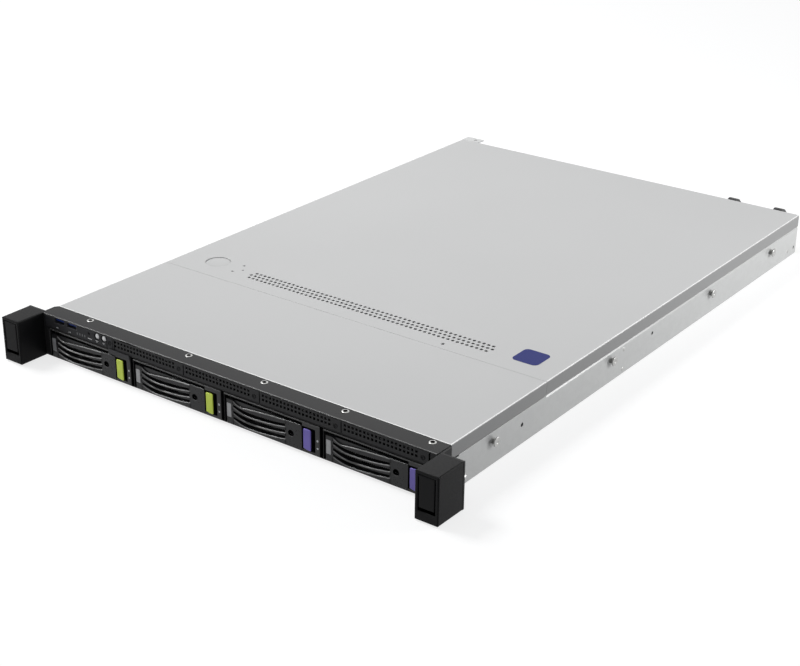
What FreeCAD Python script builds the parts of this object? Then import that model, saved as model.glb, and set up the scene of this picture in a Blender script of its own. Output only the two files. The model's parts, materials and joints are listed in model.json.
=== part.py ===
"""Rack server, one unit high: sheet-metal chassis, lift-off cover, four drive carriers,
fan wall, main board and two slide-out power supplies.

Frame: X to the right seen from the front, Y to the back, Z up, in millimetres.
x = 0 is the middle, y = 0 the front face of the rack flanges, z = 0 the underside.
"""
import FreeCAD
import Part
import math
import os

V = FreeCAD.Vector

# ---------------------------------------------------------------- driving dimensions
RACK_WIDTH = 482.6            # over the rack ears
BODY_WIDTH = 438.0            # chassis over its side walls
HEIGHT = 43.2
DEPTH = 670.0                 # rack flange to rear edge
SHEET = 1.0                   # steel sheet
BEND = 0.8                    # outer radius of the folds

SIDE = BODY_WIDTH / 2         # outer face of the side wall
LID_Z = HEIGHT - SHEET        # underside of the covers
FLANGE_LOW = 30.6             # lower edge of the cover flanges
WALL_IN = 1.3                 # step of the wall that lets the flange sit flush
WALL_TOP = 41.9
COVER_SPLIT = 155.0           # joint between the fixed and the lift-off cover
BAND_BACK = 15.5              # rear edge of the front frame's top band
FRONT = -3.0                  # front face of the front frame

BAY_PITCH = 106.5
BAYS = (-1.5, -0.5, 0.5, 1.5)   # bay centres in bay pitches
CARRIER_HALF = 51.6
CARRIER_LOW = 2.4
CARRIER_TOP = 29.8
CARRIER_FRONT = -4.0

HINGE_X = -46.5               # handle hinge, from the bay centre
HINGE_Y = 0.0
HANDLE_END = 32.8
HANDLE_LOW = 2.6
HANDLE_TOP = 25.2
SLOT_LEFT = -41.3             # the handle's wavy vents
SLOT_RIGHT = 15.3
SLOT_HEIGHTS = (20.4, 14.6, 9.1)
SAG_AT = 0.3                  # where the ribs hang lowest, as a share of the slots' length
LOCK_AT = (21.4, 14.9)

EAR_SCREW_X = 232.5
EAR_SCREW_Z = 21.8
CAP_IN = 218.9                # inner side of the ear cap
CAP_OUT = RACK_WIDTH / 2
CAP_FRONT = -32.45
FLAP_AXIS_Y = -30.9
FLAP_AXIS_Z = 38.9
WEB_FRONT = -11.6             # web inside the ear cap that keeps the rack screw

GRILLE_PITCH = 85.4
GRILLE_LEFT = -129.7          # left edge of the first vent grille
STRIP_LOW = 31.2
STRIP_TOP = 42.0
BAND_SCREWS = (-171.5, -50.8, 34.5, 119.8, 205.1)
BAND_SCREW_Y = 10.5
VENT_SIDE = 2.3               # square front vents
VENT_PITCH = 3.87
VENT_ROWS = (35.4, 39.2)
SEAT_X = 79.3                 # screw seat, from the grille's left edge
SEAT_Z = 35.8

PANEL_LEFT = -216.2
PANEL_RIGHT = GRILLE_LEFT - 0.3
PANEL_FRONT = -3.2
PANEL_SCREW = (-133.4, 36.4)
USB_AT = ((-197.4, 39.55), (-181.4, 39.55))
BUTTONS_AT = ((-149.5, 38.4), (-141.1, 38.4))
RESET_AT = (-159.2, 38.6)
PIPES_AT = (-174.6, -171.4, -168.2, -165.0)

PERFORATION = 3.1             # the lid's holes, joined in threes to short slots
PERFORATION_PITCH = 5.05
PERFORATED_ROWS = ((174.9, 0), (180.7, 1), (186.5, 0))   # y of a row, steps of half a pitch
RECESS_AT = (-178.4, 186.6)
LID_LOCK_AT = (107.1, 163.8)

BRACKET_REACH = 13.4          # cable bracket behind the rear edge

PSU_CENTRES = (135.3, 189.3)
PSU_HALF = 26.4
PSU_FRONT = 438.0
LOOP_TOP = 37.0               # pull loop of a supply
LOOP_LOW = 5.0
LOOP_BACK = 698.0
LOOP_HALF = 4.8
LOOP_BAR = 3.0

FAN_CENTRES = (-172.0, -86.0, 0.0, 86.0, 172.0)
FAN_SIZE = 40.0
FAN_LOW = 1.2
FAN_Y = (195.0, 251.0)

BOARD_LOW = 7.0
BOARD_TOP = 8.6
CPU_CENTRES = (-140.0, 20.0)
MEMORY_OFFSETS = (-66, -57, -48, 48, 57, 66)

# left, right, low and high edges of the rear sockets
PORT_WINDOWS = [(-92, -61, 9, 21), (-52, -38, 9, 23)]
PORT_WINDOWS += [(18 * i - 30, 18 * i - 14, 9, 23) for i in range(4)]
PORT_WINDOWS += [(48, 62, 9, 23)]

STUD_Y = (75.0, 265.5, 462.0, 602.0)
STUD_Z = 21.8
RIVETS_AT = ((288.5, 24.2), (288.5, 4.4), (649.3, 7.8))


# ---------------------------------------------------------------- small helpers
def block(x0, x1, y0, y1, z0, z1):
    return Part.makeBox(x1 - x0, y1 - y0, z1 - z0, V(x0, y0, z0))


def rod(axis, radius, start, length):
    """A cylinder from the point start along axis 'x', 'y' or 'z'."""
    ways = {"x": V(1, 0, 0), "y": V(0, 1, 0), "z": V(0, 0, 1)}
    return Part.makeCylinder(radius, length, V(*start), ways[axis])


def place(plane, u, v, w):
    """The point with in-plane coordinates u, v and height w over plane 'xy', 'xz' or 'yz'."""
    if plane == "xy":
        return V(u, v, w)
    if plane == "xz":
        return V(u, w, v)
    return V(w, u, v)


def prism(plane, outline, low, high):
    """Extrude a closed outline of (u, v) corners between two heights over a plane."""
    corners = [place(plane, u, v, low) for u, v in outline]
    wire = Part.makePolygon(corners + corners[:1])
    return Part.Face(wire).extrude(place(plane, 0, 0, high - low))


def post(axis, radius, sides, start, length):
    """A many-sided bar from the point start along an axis; it stands in for small round details."""
    plane = {"x": "yz", "y": "xz", "z": "xy"}[axis]
    at = V(*start)
    centre = {"x": (at.y, at.z, at.x), "y": (at.x, at.z, at.y), "z": (at.x, at.y, at.z)}[axis]
    corners = []
    for i in range(sides):
        angle = 2 * math.pi * i / sides
        corners.append((centre[0] + radius * math.cos(angle), centre[1] + radius * math.sin(angle)))
    return prism(plane, corners, centre[2], centre[2] + length)


def rounded(plane, u0, u1, v0, v1, radius, low, high):
    """A box whose four edges across the plane are rounded."""
    ends = [place(plane, u0, v0, low), place(plane, u1, v1, high)]
    size = ends[1] - ends[0]
    box = Part.makeBox(size.x, size.y, size.z, ends[0])
    way = place(plane, 0, 0, 1)
    edges = [e for e in box.Edges if abs(e.tangentAt(e.FirstParameter).dot(way)) > 0.99]
    return box.makeFillet(radius, edges)


def edges_where(shape, test):
    """The edges whose middle point and length pass the test."""
    return [edge for edge in shape.Edges if test(edge.CenterOfMass, edge.Length)]


def join(parts):
    return parts[0].fuse(parts[1:]).removeSplitter()


def minus(shape, tools):
    return shape.cut(tools).removeSplitter()


def mirrored(shape):
    return shape.mirror(V(0, 0, 0), V(1, 0, 0))


def shifted(shape, dx, dy=0.0, dz=0.0):
    copy = shape.copy()
    copy.translate(V(dx, dy, dz))
    return copy


def save(name, shape):
    """Write one sub-part, after checking that each of its solids is sound."""
    for solid in shape.Solids:
        if not solid.isValid() or solid.Volume <= 0:
            raise ValueError(name + " has a bad solid")
    shape.exportStep("parts/" + name + ".step")
    print("%-22s %2d solid(s) %10.1f mm3" % (name, len(shape.Solids), shape.Volume))


# ---------------------------------------------------------------- chassis and covers
def tray_section(shoulder_low, shoulder_high):
    """Closed section of the folded tray: floor, walls and the step under the cover flange."""
    outer_x = SIDE - WALL_IN
    inner_x = outer_x - SHEET
    right = [(SIDE, 0), (SIDE, shoulder_low), (outer_x, shoulder_high), (outer_x, WALL_TOP),
             (inner_x, WALL_TOP), (inner_x, shoulder_high - SHEET), (SIDE - SHEET, shoulder_low - SHEET),
             (SIDE - SHEET, SHEET)]
    left = [(-x, z) for x, z in reversed(right)]
    return right + left


def chassis_base():
    """Folded tray with stepped side walls, hole pattern, notches and board standoffs."""
    front = prism("xz", tray_section(30.2, 30.2), 0, COVER_SPLIT)
    rear = prism("xz", tray_section(28.4, 30.0), COVER_SPLIT, DEPTH)
    tray = front.fuse(rear)
    bends = edges_where(tray, lambda m, length: m.z < 0.01 and abs(abs(m.x) - SIDE) < 0.01 and length > 90)
    tray = tray.makeFillet(BEND, bends)
    standoffs = []
    for x in (-208, 96):
        for y in (270, 480, 655):
            standoffs.append(post("z", 2.6, 6, (x, y, SHEET), BOARD_LOW - SHEET))
    tray = join([tray] + standoffs)
    holes = []
    for y, z, r in ((118.4, 18.2, 2.0), (342.2, 21.1, 1.8), (664.0, 8.2, 1.8)):
        for side in (-SIDE - 1, SIDE - SHEET - 1):
            holes.append(post("x", r, 8, (side, y, z), SHEET + 2))
    for x in (-SIDE - 1, SIDE - SHEET - 1):
        holes.append(block(x, x + SHEET + 2, 20, 26.5, 29.0, 30.4))
    return minus(tray, holes)


def cable_bracket():
    """Bracket behind the rear left corner: a cheek, two feet on the rear panel and a drilled tab."""
    back = DEPTH + BRACKET_REACH
    cheek_face = -SIDE + SHEET
    cheek = block(-SIDE, cheek_face, DEPTH + 0.05, back, 4, HEIGHT)
    inside = -SIDE + WALL_IN + SHEET + 0.1
    foot_plan = [(-SIDE, DEPTH + 0.05), (inside, DEPTH + 0.05), (inside, DEPTH - 0.2),
                 (-206, DEPTH - 0.2), (-206, DEPTH + 0.8), (-SIDE, DEPTH + 0.8)]
    feet = [prism("xy", foot_plan, low, high) for low, high in ((15.6, 20.4), (37.4, 41.8))]
    tab = block(-SIDE, -196, DEPTH + 0.3, back, LID_Z, HEIGHT)
    tab = minus(tab, [rod("z", 2.2, (-204, DEPTH + 7, LID_Z - 2), 5)])
    return join([cheek, tab] + feet)


def cover_section():
    """Cover with a flange folded down on each side."""
    right = [(SIDE, HEIGHT), (SIDE, FLANGE_LOW), (SIDE - SHEET, FLANGE_LOW), (SIDE - SHEET, LID_Z)]
    left = [(-x, z) for x, z in reversed(right)]
    return right + left


def cover_shell(y0, y1):
    shell = prism("xz", cover_section(), y0, y1)
    bends = edges_where(shell, lambda m, length: m.z > HEIGHT - 0.01 and abs(abs(m.x) - SIDE) < 0.01)
    return shell.makeFillet(BEND, bends)


def vent_slots():
    """Three staggered rows of short slots, each standing for three of the lid's perforations."""
    half = PERFORATION / 2
    step = 3 * PERFORATION_PITCH
    slots = []
    for y, offset in PERFORATED_ROWS:
        start = -127.5 - offset * PERFORATION_PITCH / 2
        for i in range(18 + offset):
            left = start + i * step - half
            right = left + 2 * PERFORATION_PITCH + PERFORATION
            slots.append(block(left, right, y - half, y + half, LID_Z - 1, HEIGHT + 1))
    return slots


def top_cover():
    """Lift-off rear cover: perforated strip, stamped thumb recess and its lock hole."""
    radius = 12.5
    drop = 0.9
    shell = cover_shell(COVER_SPLIT + 0.15, DEPTH)
    boss = rod("z", radius + 0.9, (*RECESS_AT, LID_Z - drop + 0.1), 1.0)
    shell = join([shell, boss])
    dish = rod("z", radius, (*RECESS_AT, HEIGHT - drop), 2)
    lock = post("z", 1.7, 8, (*LID_LOCK_AT, LID_Z - 1), 3)
    return minus(shell, [dish, lock] + vent_slots())


def front_cover():
    """Fixed cover over the drive bays."""
    return cover_shell(BAND_BACK + 0.15, COVER_SPLIT - 0.15)


def cover_label():
    outline = [(173, 174.6), (193, 174.6), (196, 177.6), (196, 198), (193, 201), (173, 201),
               (170, 198), (170, 177.6)]
    return prism("xy", outline, HEIGHT, HEIGHT + 0.15)


def rear_panel():
    """Rear wall with the card slot, the port cut-outs and louvred vents."""
    panel = block(-216.4, 107.4, DEPTH - 1.2, DEPTH - 0.2, 1.1, 41.8)
    tools = [block(-212, -108, DEPTH - 3, DEPTH + 2, 21, 37)]
    for x0, x1, z0, z1 in PORT_WINDOWS:
        tools.append(block(x0 - 0.3, x1 + 0.3, DEPTH - 3, DEPTH + 2, z0 - 0.3, z1 + 0.3))
    for i in range(15):
        x = -90 + i * 13
        tools.append(block(x, x + 9, DEPTH - 3, DEPTH + 2, 28, 37))
    for i in range(8):
        x = -210 + i * 13
        tools.append(block(x, x + 9, DEPTH - 3, DEPTH + 2, 6, 15))
    return minus(panel, tools)


# ---------------------------------------------------------------- front frame and its strip
def front_frame():
    """Black surround: top band, side posts, bottom lip and the bar above the drive bays."""
    face = block(-218.8, 218.8, FRONT, -0.2, 1.6, HEIGHT)
    window = block(-212.4, 212.4, FRONT - 1, 1, 2.2, 30.0)
    strip = block(-216.4, 212.4, FRONT - 1, 1, 31.0, LID_Z)
    face = minus(face, [window, strip])
    band = block(-218.8, 218.8, FRONT, BAND_BACK, LID_Z, HEIGHT)
    screw_holes = [post("z", 1.7, 6, (x, BAND_SCREW_Y, LID_Z - 1), 3) for x in BAND_SCREWS]
    posts = [block(-216.5, -212.4, -0.3, 12, 1.1, 30.6), block(212.4, 216.5, -0.3, 12, 1.1, LID_Z)]
    bar = block(-212.4, 212.4, -1.5, 3.8, 30.0, 31.0)
    frame = join([face, band, bar] + posts)
    return minus(frame, screw_holes)


def vent_grille(index):
    """Folded filler plate with two rows of square vents and a screw seat at its right end."""
    left = GRILLE_LEFT + index * GRILLE_PITCH
    right = left + GRILLE_PITCH - 0.3
    section = [(FRONT, STRIP_LOW), (FRONT, STRIP_TOP), (14, STRIP_TOP), (14, STRIP_TOP - 0.8),
               (FRONT + 1.0, STRIP_TOP - 0.8), (FRONT + 1.0, STRIP_LOW + 0.8), (3.5, STRIP_LOW + 0.8),
               (3.5, STRIP_LOW)]
    plate = prism("yz", section, left, right)
    tools = []
    half = VENT_SIDE / 2
    for row in VENT_ROWS:
        for i in range(19):
            x = left + 2.2 + half + VENT_PITCH * i
            tools.append(block(x - half, x + half, FRONT - 1, FRONT + 2, row - half, row + half))
    tools.append(post("y", 2.4, 8, (left + SEAT_X, FRONT - 1, SEAT_Z), 1.5))
    tools.append(post("z", 1.7, 6, (BAND_SCREWS[index + 1], BAND_SCREW_Y, STRIP_TOP - 2), 3))
    return minus(plate, tools)


def vent_grilles():
    return Part.makeCompound([vent_grille(i) for i in range(4)])


def control_panel():
    """Moulded panel with two ports, round button wells, a pin-hole and four light-pipe windows."""
    section = [(PANEL_FRONT, STRIP_LOW), (PANEL_FRONT, 42.1), (-1.2, 42.1), (-1.2, STRIP_LOW + 1.2),
               (15, STRIP_LOW + 1.2), (15, STRIP_LOW)]
    panel = prism("yz", section, PANEL_LEFT, PANEL_RIGHT)
    groove = block(-137.4, -136.7, PANEL_FRONT - 1, PANEL_FRONT + 1.2, 30, 43)
    tools = [groove, post("y", 2.2, 8, (PANEL_SCREW[0], PANEL_FRONT - 1, PANEL_SCREW[1]), 1.6)]
    for x, z in USB_AT:
        tools.append(block(x - 6.5, x + 6.5, PANEL_FRONT - 1, 0, z - 2.55, z + 3))
    for x, z in BUTTONS_AT:
        tools.append(post("y", 3.2, 12, (x, PANEL_FRONT - 1, z), 4))
    tools.append(post("y", 1.4, 8, (RESET_AT[0], PANEL_FRONT - 1, RESET_AT[1]), 4))
    for x in PIPES_AT:
        tools.append(block(x - 0.8, x + 0.8, PANEL_FRONT - 1, 0, 33.3, 35.6))
    return minus(panel, tools)


def usb_port(x, z):
    """Folded shell with its contact tongue on a back wall."""
    shell = block(x - 6.4, x + 6.4, PANEL_FRONT + 0.2, 12, z - 2.5, z + 2.5)
    cavity = block(x - 6.0, x + 6.0, PANEL_FRONT - 1, 10, z - 2.15, z + 2.15)
    tongue = block(x - 5.4, x + 5.4, PANEL_FRONT + 1.6, 10.5, z - 0.1, z + 1.5)
    return join([minus(shell, [cavity]), tongue])


def usb_ports():
    return Part.makeCompound([usb_port(x, z) for x, z in USB_AT])


def control_board():
    """Small board under the ports, and the four light guides in front of its lamps."""
    board = block(-214, -138.5, 1.5, 14.5, 34.0, 35.6)
    guides = [block(x - 0.7, x + 0.7, PANEL_FRONT + 0.1, 1.2, 33.4, 35.5) for x in PIPES_AT]
    return Part.makeCompound([board] + guides)


def push_button(x, z, radius, front):
    """Cap with a thinner stem."""
    cap = post("y", radius, 12, (x, front, z), 2.6)
    stem = post("y", radius * 0.6, 4, (x, front + 2.4, z), 3.0)
    return join([cap, stem])


def front_screws():
    """Five low-head screws in the top band and five small ones in the strip."""
    screws = []
    for x in BAND_SCREWS:
        head = post("z", 4.0, 10, (x, BAND_SCREW_Y, HEIGHT), 0.5)
        shank = post("z", 1.5, 4, (x, BAND_SCREW_Y, HEIGHT - 3.2), 3.3)
        screws.append(join([head, shank]))
    for i in range(4):
        x = GRILLE_LEFT + i * GRILLE_PITCH + SEAT_X
        screws.append(post("y", 1.7, 6, (x, FRONT - 0.1, SEAT_Z), 0.6))
    screws.append(post("y", 1.7, 6, (PANEL_SCREW[0], PANEL_FRONT - 0.1, PANEL_SCREW[1]), 0.7))
    return Part.makeCompound(screws)


# ---------------------------------------------------------------- rack ears
def ear_bracket():
    """Right steel ear: flange with the screw hole and a leg along the chassis side."""
    flange = block(219.3, CAP_OUT, 0, 2, 1.0, 42.8)
    leg = prism("xy", [(219.3, 2), (219.3, BAND_BACK), (221.3, 13), (221.3, 2)], 1.0, 42.8)
    hole = rod("y", 3.4, (EAR_SCREW_X, -1, EAR_SCREW_Z), 4)
    window = post("x", 2.0, 6, (218, 9, 33), 5)
    return minus(join([flange, leg]), [hole, window])


def ear_cap():
    """Right moulded ear housing, open at the back, with flap opening, hinge pin and screw web."""
    wall = 1.6
    shell = block(CAP_IN, CAP_OUT, CAP_FRONT, -0.1, 0.6, HEIGHT)
    shell = shell.makeChamfer(0.8, edges_where(shell, lambda m, length: length > 20 and m.y < -1))
    cavity = block(CAP_IN + wall, CAP_OUT - wall, CAP_FRONT + wall, 1, 0.6 + wall, HEIGHT - wall)
    opening = block(221.9, 238.3, CAP_FRONT - 1, CAP_FRONT + wall + 1, 9.4, 40.6)
    shell = minus(shell, [cavity, opening])
    pin = rod("x", 0.8, (CAP_IN + 0.5, FLAP_AXIS_Y, FLAP_AXIS_Z), CAP_OUT - CAP_IN - 1.0)
    lugs = [block(219.4, 221.9, CAP_FRONT + 0.6, FLAP_AXIS_Y + 1.6, 37.0, 42.0),
            block(238.3, 240.6, CAP_FRONT + 0.6, FLAP_AXIS_Y + 1.6, 37.0, 42.0)]
    web = block(CAP_IN + 0.5, CAP_OUT - 0.5, WEB_FRONT, WEB_FRONT + 1.5, 12, 32)
    web = minus(web, [post("y", 3.6, 12, (EAR_SCREW_X, WEB_FRONT - 1, EAR_SCREW_Z), 4)])
    return join([shell, pin, web] + lugs)


def ear_flap():
    """Right flap: a panel hung from a barrel, with a finger lip at its lower edge."""
    x0 = 222.9
    x1 = 237.3
    panel = block(x0, x1, CAP_FRONT + 0.15, CAP_FRONT + 2.35, 12.3, FLAP_AXIS_Z)
    rim = edges_where(panel, lambda m, length: m.y < CAP_FRONT + 0.2 and m.z < 38)
    panel = panel.makeChamfer(0.5, rim)
    barrel = rod("x", 1.4, (x0, FLAP_AXIS_Y, FLAP_AXIS_Z), x1 - x0)
    bore = rod("x", 0.85, (x0 - 1, FLAP_AXIS_Y, FLAP_AXIS_Z), x1 - x0 + 2)
    return minus(join([panel, barrel]), [bore])


def captive_screw():
    """Right rack screw: thumb head before the cap's web, collar behind it, shank through the flange."""
    at = (EAR_SCREW_X, EAR_SCREW_Z)
    head = post("y", 5.2, 12, (at[0], -22, at[1]), 9.5)
    slot = block(at[0] - 0.7, at[0] + 0.7, -23, -20, at[1] - 6, at[1] + 6)
    neck = post("y", 2.7, 8, (at[0], -12.6, at[1]), 16.0)
    shank = rod("y", 3.0, (at[0], 3.3, at[1]), 9.7)
    collar = post("y", 4.6, 8, (at[0], WEB_FRONT + 1.9, at[1]), 1.2)
    return minus(join([head, neck, shank, collar]), [slot])


# ---------------------------------------------------------------- drive carriers
def carrier_tray(centre):
    """Moulded bezel with the handle and latch pockets, hinge pin and side rails."""
    front = CARRIER_FRONT
    bezel = block(-CARRIER_HALF, CARRIER_HALF, front, 6, CARRIER_LOW, CARRIER_TOP)
    pocket = block(-50.9, 33.2, front - 1, 4.6, CARRIER_LOW - 1, 28.4)
    latch_pocket = block(33.0, 46.8, front - 1, 3.6, 4.9, 25.6)
    tools = [pocket, latch_pocket]
    for i in range(3):
        tools.append(block(-38 + i * 18, -24 + i * 18, 4, 7, 6, 24))
    body = minus(bezel, tools)
    pin = rod("z", 1.2, (HINGE_X, HINGE_Y, HANDLE_LOW + 0.4), 28.8 - HANDLE_LOW - 0.4)
    rails = []
    for side in (-1, 1):
        edge = side * CARRIER_HALF
        section = [(edge, 2.4), (edge, 17), (edge - side * 0.7, 17), (edge - side * 0.7, 3.0),
                   (edge - side * 9, 3.0), (edge - side * 9, 2.4)]
        rails.append(prism("xz", section, 5.5, 150))
    return shifted(join([body, pin] + rails), centre)


def sag(z_ends, dip):
    """Two arcs from the slots' left to their right end: a quick fall, then a slow rise."""
    low = V(SLOT_LEFT + SAG_AT * (SLOT_RIGHT - SLOT_LEFT), 0, z_ends - dip)
    edges = []
    for end_x in (SLOT_LEFT, SLOT_RIGHT):
        run = end_x - low.x
        radius = (run * run + dip * dip) / (2 * dip)
        turn = math.asin(run / radius) / 2
        middle = V(low.x + radius * math.sin(turn), 0, low.z + radius * (1 - math.cos(turn)))
        edges.append(Part.Arc(V(end_x, 0, z_ends), middle, low).toShape())
    return edges, V(SLOT_LEFT, 0, z_ends), V(SLOT_RIGHT, 0, z_ends)


def wavy_space(edges, corners, y0, y1):
    """Space between sagging edges, closed by straight sides through the corners."""
    sides = [Part.makeLine(a, b) for a, b in corners]
    wire = Part.Wire(Part.__sortEdges__(edges + sides))
    return shifted(Part.Face(wire).extrude(V(0, y1 - y0, 0)), 0, y0)


def wave_slot(z_middle):
    """One through slot whose upper and lower edges sag by different amounts."""
    upper, upper_left, upper_right = sag(z_middle + 1.15, 2.6)
    lower, lower_left, lower_right = sag(z_middle - 1.15, 3.5)
    corners = [(lower_right, upper_right), (upper_left, lower_left)]
    return wavy_space(upper + lower, corners, -6, 6)


def wave_shelf():
    """The space in front of the handle's set-back top, above its uppermost wave."""
    edges, left, right = sag(24.5, 4.2)
    top = HANDLE_TOP + 1
    above_left = V(left.x, 0, top)
    above_right = V(right.x, 0, top)
    corners = [(right, above_right), (above_right, above_left), (above_left, left)]
    return wavy_space(edges, corners, CARRIER_FRONT - 1, CARRIER_FRONT + 2.5)


def handle_plan():
    """Plan of the lever: round hinge end, thin ribbed middle and thicker lock end."""
    front = CARRIER_FRONT
    radius = HINGE_Y - front
    mid_back = front + 4.4
    end_back = 3.0
    start = V(HINGE_X, front, 0)
    quarter = V(HINGE_X - radius, HINGE_Y, 0)
    back = V(HINGE_X, HINGE_Y + radius, 0)
    arc = Part.Arc(start, quarter, back).toShape()
    corners = [back, V(HINGE_X + 2.5, HINGE_Y + radius - 0.8, 0), V(SLOT_LEFT, mid_back, 0),
               V(SLOT_RIGHT, mid_back, 0), V(SLOT_RIGHT + 2, end_back, 0), V(HANDLE_END, end_back, 0),
               V(HANDLE_END, front, 0), start]
    lines = [Part.makeLine(a, b) for a, b in zip(corners, corners[1:])]
    face = Part.Face(Part.Wire([arc] + lines))
    return shifted(face.extrude(V(0, 0, HANDLE_TOP - HANDLE_LOW)), 0, 0, HANDLE_LOW)


def carrier_handle(centre):
    """Hinged lever with three wavy vents between sculpted ribs, a label seat and a key lock."""
    lever = handle_plan()
    tools = [wave_slot(z) for z in SLOT_HEIGHTS]
    tools.append(wave_shelf())
    tools.append(rod("z", 1.25, (HINGE_X, HINGE_Y, HANDLE_LOW - 1), HANDLE_TOP - HANDLE_LOW + 2))
    lock_ring = post("y", 3.0, 10, (LOCK_AT[0], CARRIER_FRONT - 1, LOCK_AT[1]), 3.0)
    lock_core = post("y", 1.7, 6, (LOCK_AT[0], CARRIER_FRONT - 2, LOCK_AT[1]), 5.0)
    tools.append(minus(lock_ring, [lock_core]))
    return shifted(minus(lever, tools), centre)


def carrier_latch(centre):
    """Coloured thumb latch: a pad on a narrower foot that slides sideways in its pocket."""
    pad = block(34.3, 42.9, CARRIER_FRONT - 1.0, CARRIER_FRONT + 1.6, 5.4, 24.3)
    pad = pad.makeChamfer(0.8, edges_where(pad, lambda m, length: m.y < CARRIER_FRONT - 0.9))
    foot = block(35.8, 40.2, CARRIER_FRONT + 1.5, 3.2, 8.5, 21.0)
    return shifted(join([pad, foot]), centre)


def hard_drive(centre):
    """Drive with a chamfered lid and its connector at the rear."""
    body = block(-50.8, 50.8, 8, 153, 4.6, 29.2)
    body = body.makeChamfer(1.5, edges_where(body, lambda m, length: m.z > 29 or 20 < length < 26))
    board = block(-46, 46, 60, 150, 3.2, 4.6)
    plug = block(-18, 14, 152, 154.6, 4.0, 9.5)
    return shifted(join([body, board, plug]), centre)


def drive_cage():
    """Shelf over the bays with folded dividers that guide the carriers."""
    parts = [block(-212.2, 212.2, 4.0, 13, 30.2, 31.0), block(-216.4, 216.4, 12.2, 152, 30.2, 31.0)]
    for k in (-1, 0, 1):
        parts.append(block(k * BAY_PITCH - 0.5, k * BAY_PITCH + 0.5, 7, 152, SHEET, 30.4))
    for x in (-213.6, 212.6):
        parts.append(block(x, x + 1.0, 13, 152, SHEET, 30.4))
    return join(parts)


def drive_backplane():
    """Board behind the bays with one connector per bay and air slots."""
    board = block(-212, 212, 157, 158.6, 2.0, 30.0)
    tools = []
    plugs = []
    for k in BAYS:
        x = k * BAY_PITCH
        plugs.append(block(x - 19, x + 15, 155.2, 157.2, 3.4, 10.1))
        tools.append(block(x - 40, x - 6, 156, 160, 14, 27))
        tools.append(block(x + 4, x + 38, 156, 160, 14, 27))
    return join([minus(board, tools)] + plugs)


# ---------------------------------------------------------------- inside the chassis
def fan_housing(x):
    """Square duct with a motor seat on three struts."""
    low, high = FAN_Y
    middle = FAN_LOW + FAN_SIZE / 2
    duct = block(x - FAN_SIZE / 2, x + FAN_SIZE / 2, low, high, FAN_LOW, FAN_LOW + FAN_SIZE)
    duct = minus(duct, [post("y", 19.3, 20, (x, low - 1, middle), high - low + 2)])
    seat = post("y", 8.5, 12, (x, high - 5, middle), 5)
    struts = []
    for angle in (30, 150, 270):
        strut = block(x + 7, x + 19.6, high - 4, high, middle - 1.2, middle + 1.2)
        strut.rotate(V(x, high, middle), V(0, 1, 0), angle)
        struts.append(strut)
    return join([duct, seat] + struts)


def fan_housings():
    return Part.makeCompound([fan_housing(x) for x in FAN_CENTRES])


def fan_rotor(x):
    """Hub with seven pitched blades."""
    start = FAN_Y[0] + 6
    length = 42.0
    middle = FAN_LOW + FAN_SIZE / 2
    hub = post("y", 9.5, 14, (x, start, middle), length)
    blades = []
    for i in range(7):
        blade = block(x - 0.7, x + 0.7, start + 6, start + 36, middle + 5, middle + 17)
        blade.rotate(V(x, start + length / 2, middle), V(0, 0, 1), 28)
        blade.rotate(V(x, start, middle), V(0, 1, 0), 360 / 7 * i)
        blades.append(blade)
    return join([hub] + blades)


def motherboard():
    """Main board with two processor sockets and memory slots."""
    board = block(-214, 104, 262, 664, BOARD_LOW, BOARD_TOP)
    root = BOARD_TOP - 0.2
    parts = [board]
    for x in CPU_CENTRES:
        parts.append(block(x - 32, x + 32, 368, 432, root, 12.0))
        for k in MEMORY_OFFSETS:
            parts.append(block(x + k - 3.2, x + k + 3.2, 325, 467, root, 12.6))
    parts.append(block(-40, -10, 520, 550, root, 14))
    return join(parts)


def cpu_heatsink(x):
    """Base plate with upright fins along the air flow."""
    base = block(x - 40, x + 40, 352, 448, 12.0, 16.0)
    fins = [block(x - 40 + i * 7.18, x - 38.8 + i * 7.18, 352, 448, 15.9, 38.0) for i in range(12)]
    return join([base] + fins)


def cpu_heatsinks():
    return Part.makeCompound([cpu_heatsink(x) for x in CPU_CENTRES])


def memory_modules():
    sticks = []
    for x in CPU_CENTRES:
        for k in MEMORY_OFFSETS:
            sticks.append(block(x + k - 1.8, x + k + 1.8, 329.5, 462.5, 12.6, 38.5))
    return Part.makeCompound(sticks)


def air_baffle():
    """Plastic hood that leads the air from the fans to the processors."""
    section = [(253, 40.6), (316, 36.4), (316, 35.0), (253, 39.2)]
    roof = prism("yz", section, -212, 102)
    skirts = []
    for x in (-212.0, -60.8, 100.4):
        outline = [(253, 10), (253, 40), (316, 35.8), (316, 10)]
        skirts.append(prism("yz", outline, x, x + 1.6))
    return join([roof] + skirts)


def riser_card():
    """Upright card with two edge sockets facing the card space."""
    board = block(-103.5, -101.9, 500, 640, BOARD_TOP, 39.0)
    sockets = [block(-111.0, -103.4, 512, 602, z, z + 7.5) for z in (14.0, 27.5)]
    return join([board] + sockets)


def slot_filler():
    """Blank bracket that closes the expansion slot."""
    plate = block(-213.5, -106.5, DEPTH - 2.2, DEPTH - 1.2, 19.5, 38.5)
    rim = block(-211.6, -108.4, DEPTH - 1.3, DEPTH - 0.4, 21.4, 36.6)
    return join([plate, rim])


def power_board():
    """Distribution board with one blade socket per power supply."""
    board = block(108, 216, 426, 427.6, 2.0, 40.0)
    sockets = [block(x - 20, x + 20, 427.5, 436.5, 5, 15) for x in PSU_CENTRES]
    return join([board] + sockets)


def rear_ports():
    """Video, network and data sockets standing on the main board's rear edge."""
    ports = []
    for x0, x1, z0, z1 in PORT_WINDOWS:
        shell = block(x0, x1, DEPTH - 19, DEPTH, z0, z1)
        mouth = block(x0 + 1.2, x1 - 1.2, DEPTH - 12, DEPTH + 1, z0 + 1.2, z1 - 1.2)
        ports.append(minus(shell, [mouth]))
    return Part.makeCompound(ports)


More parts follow.
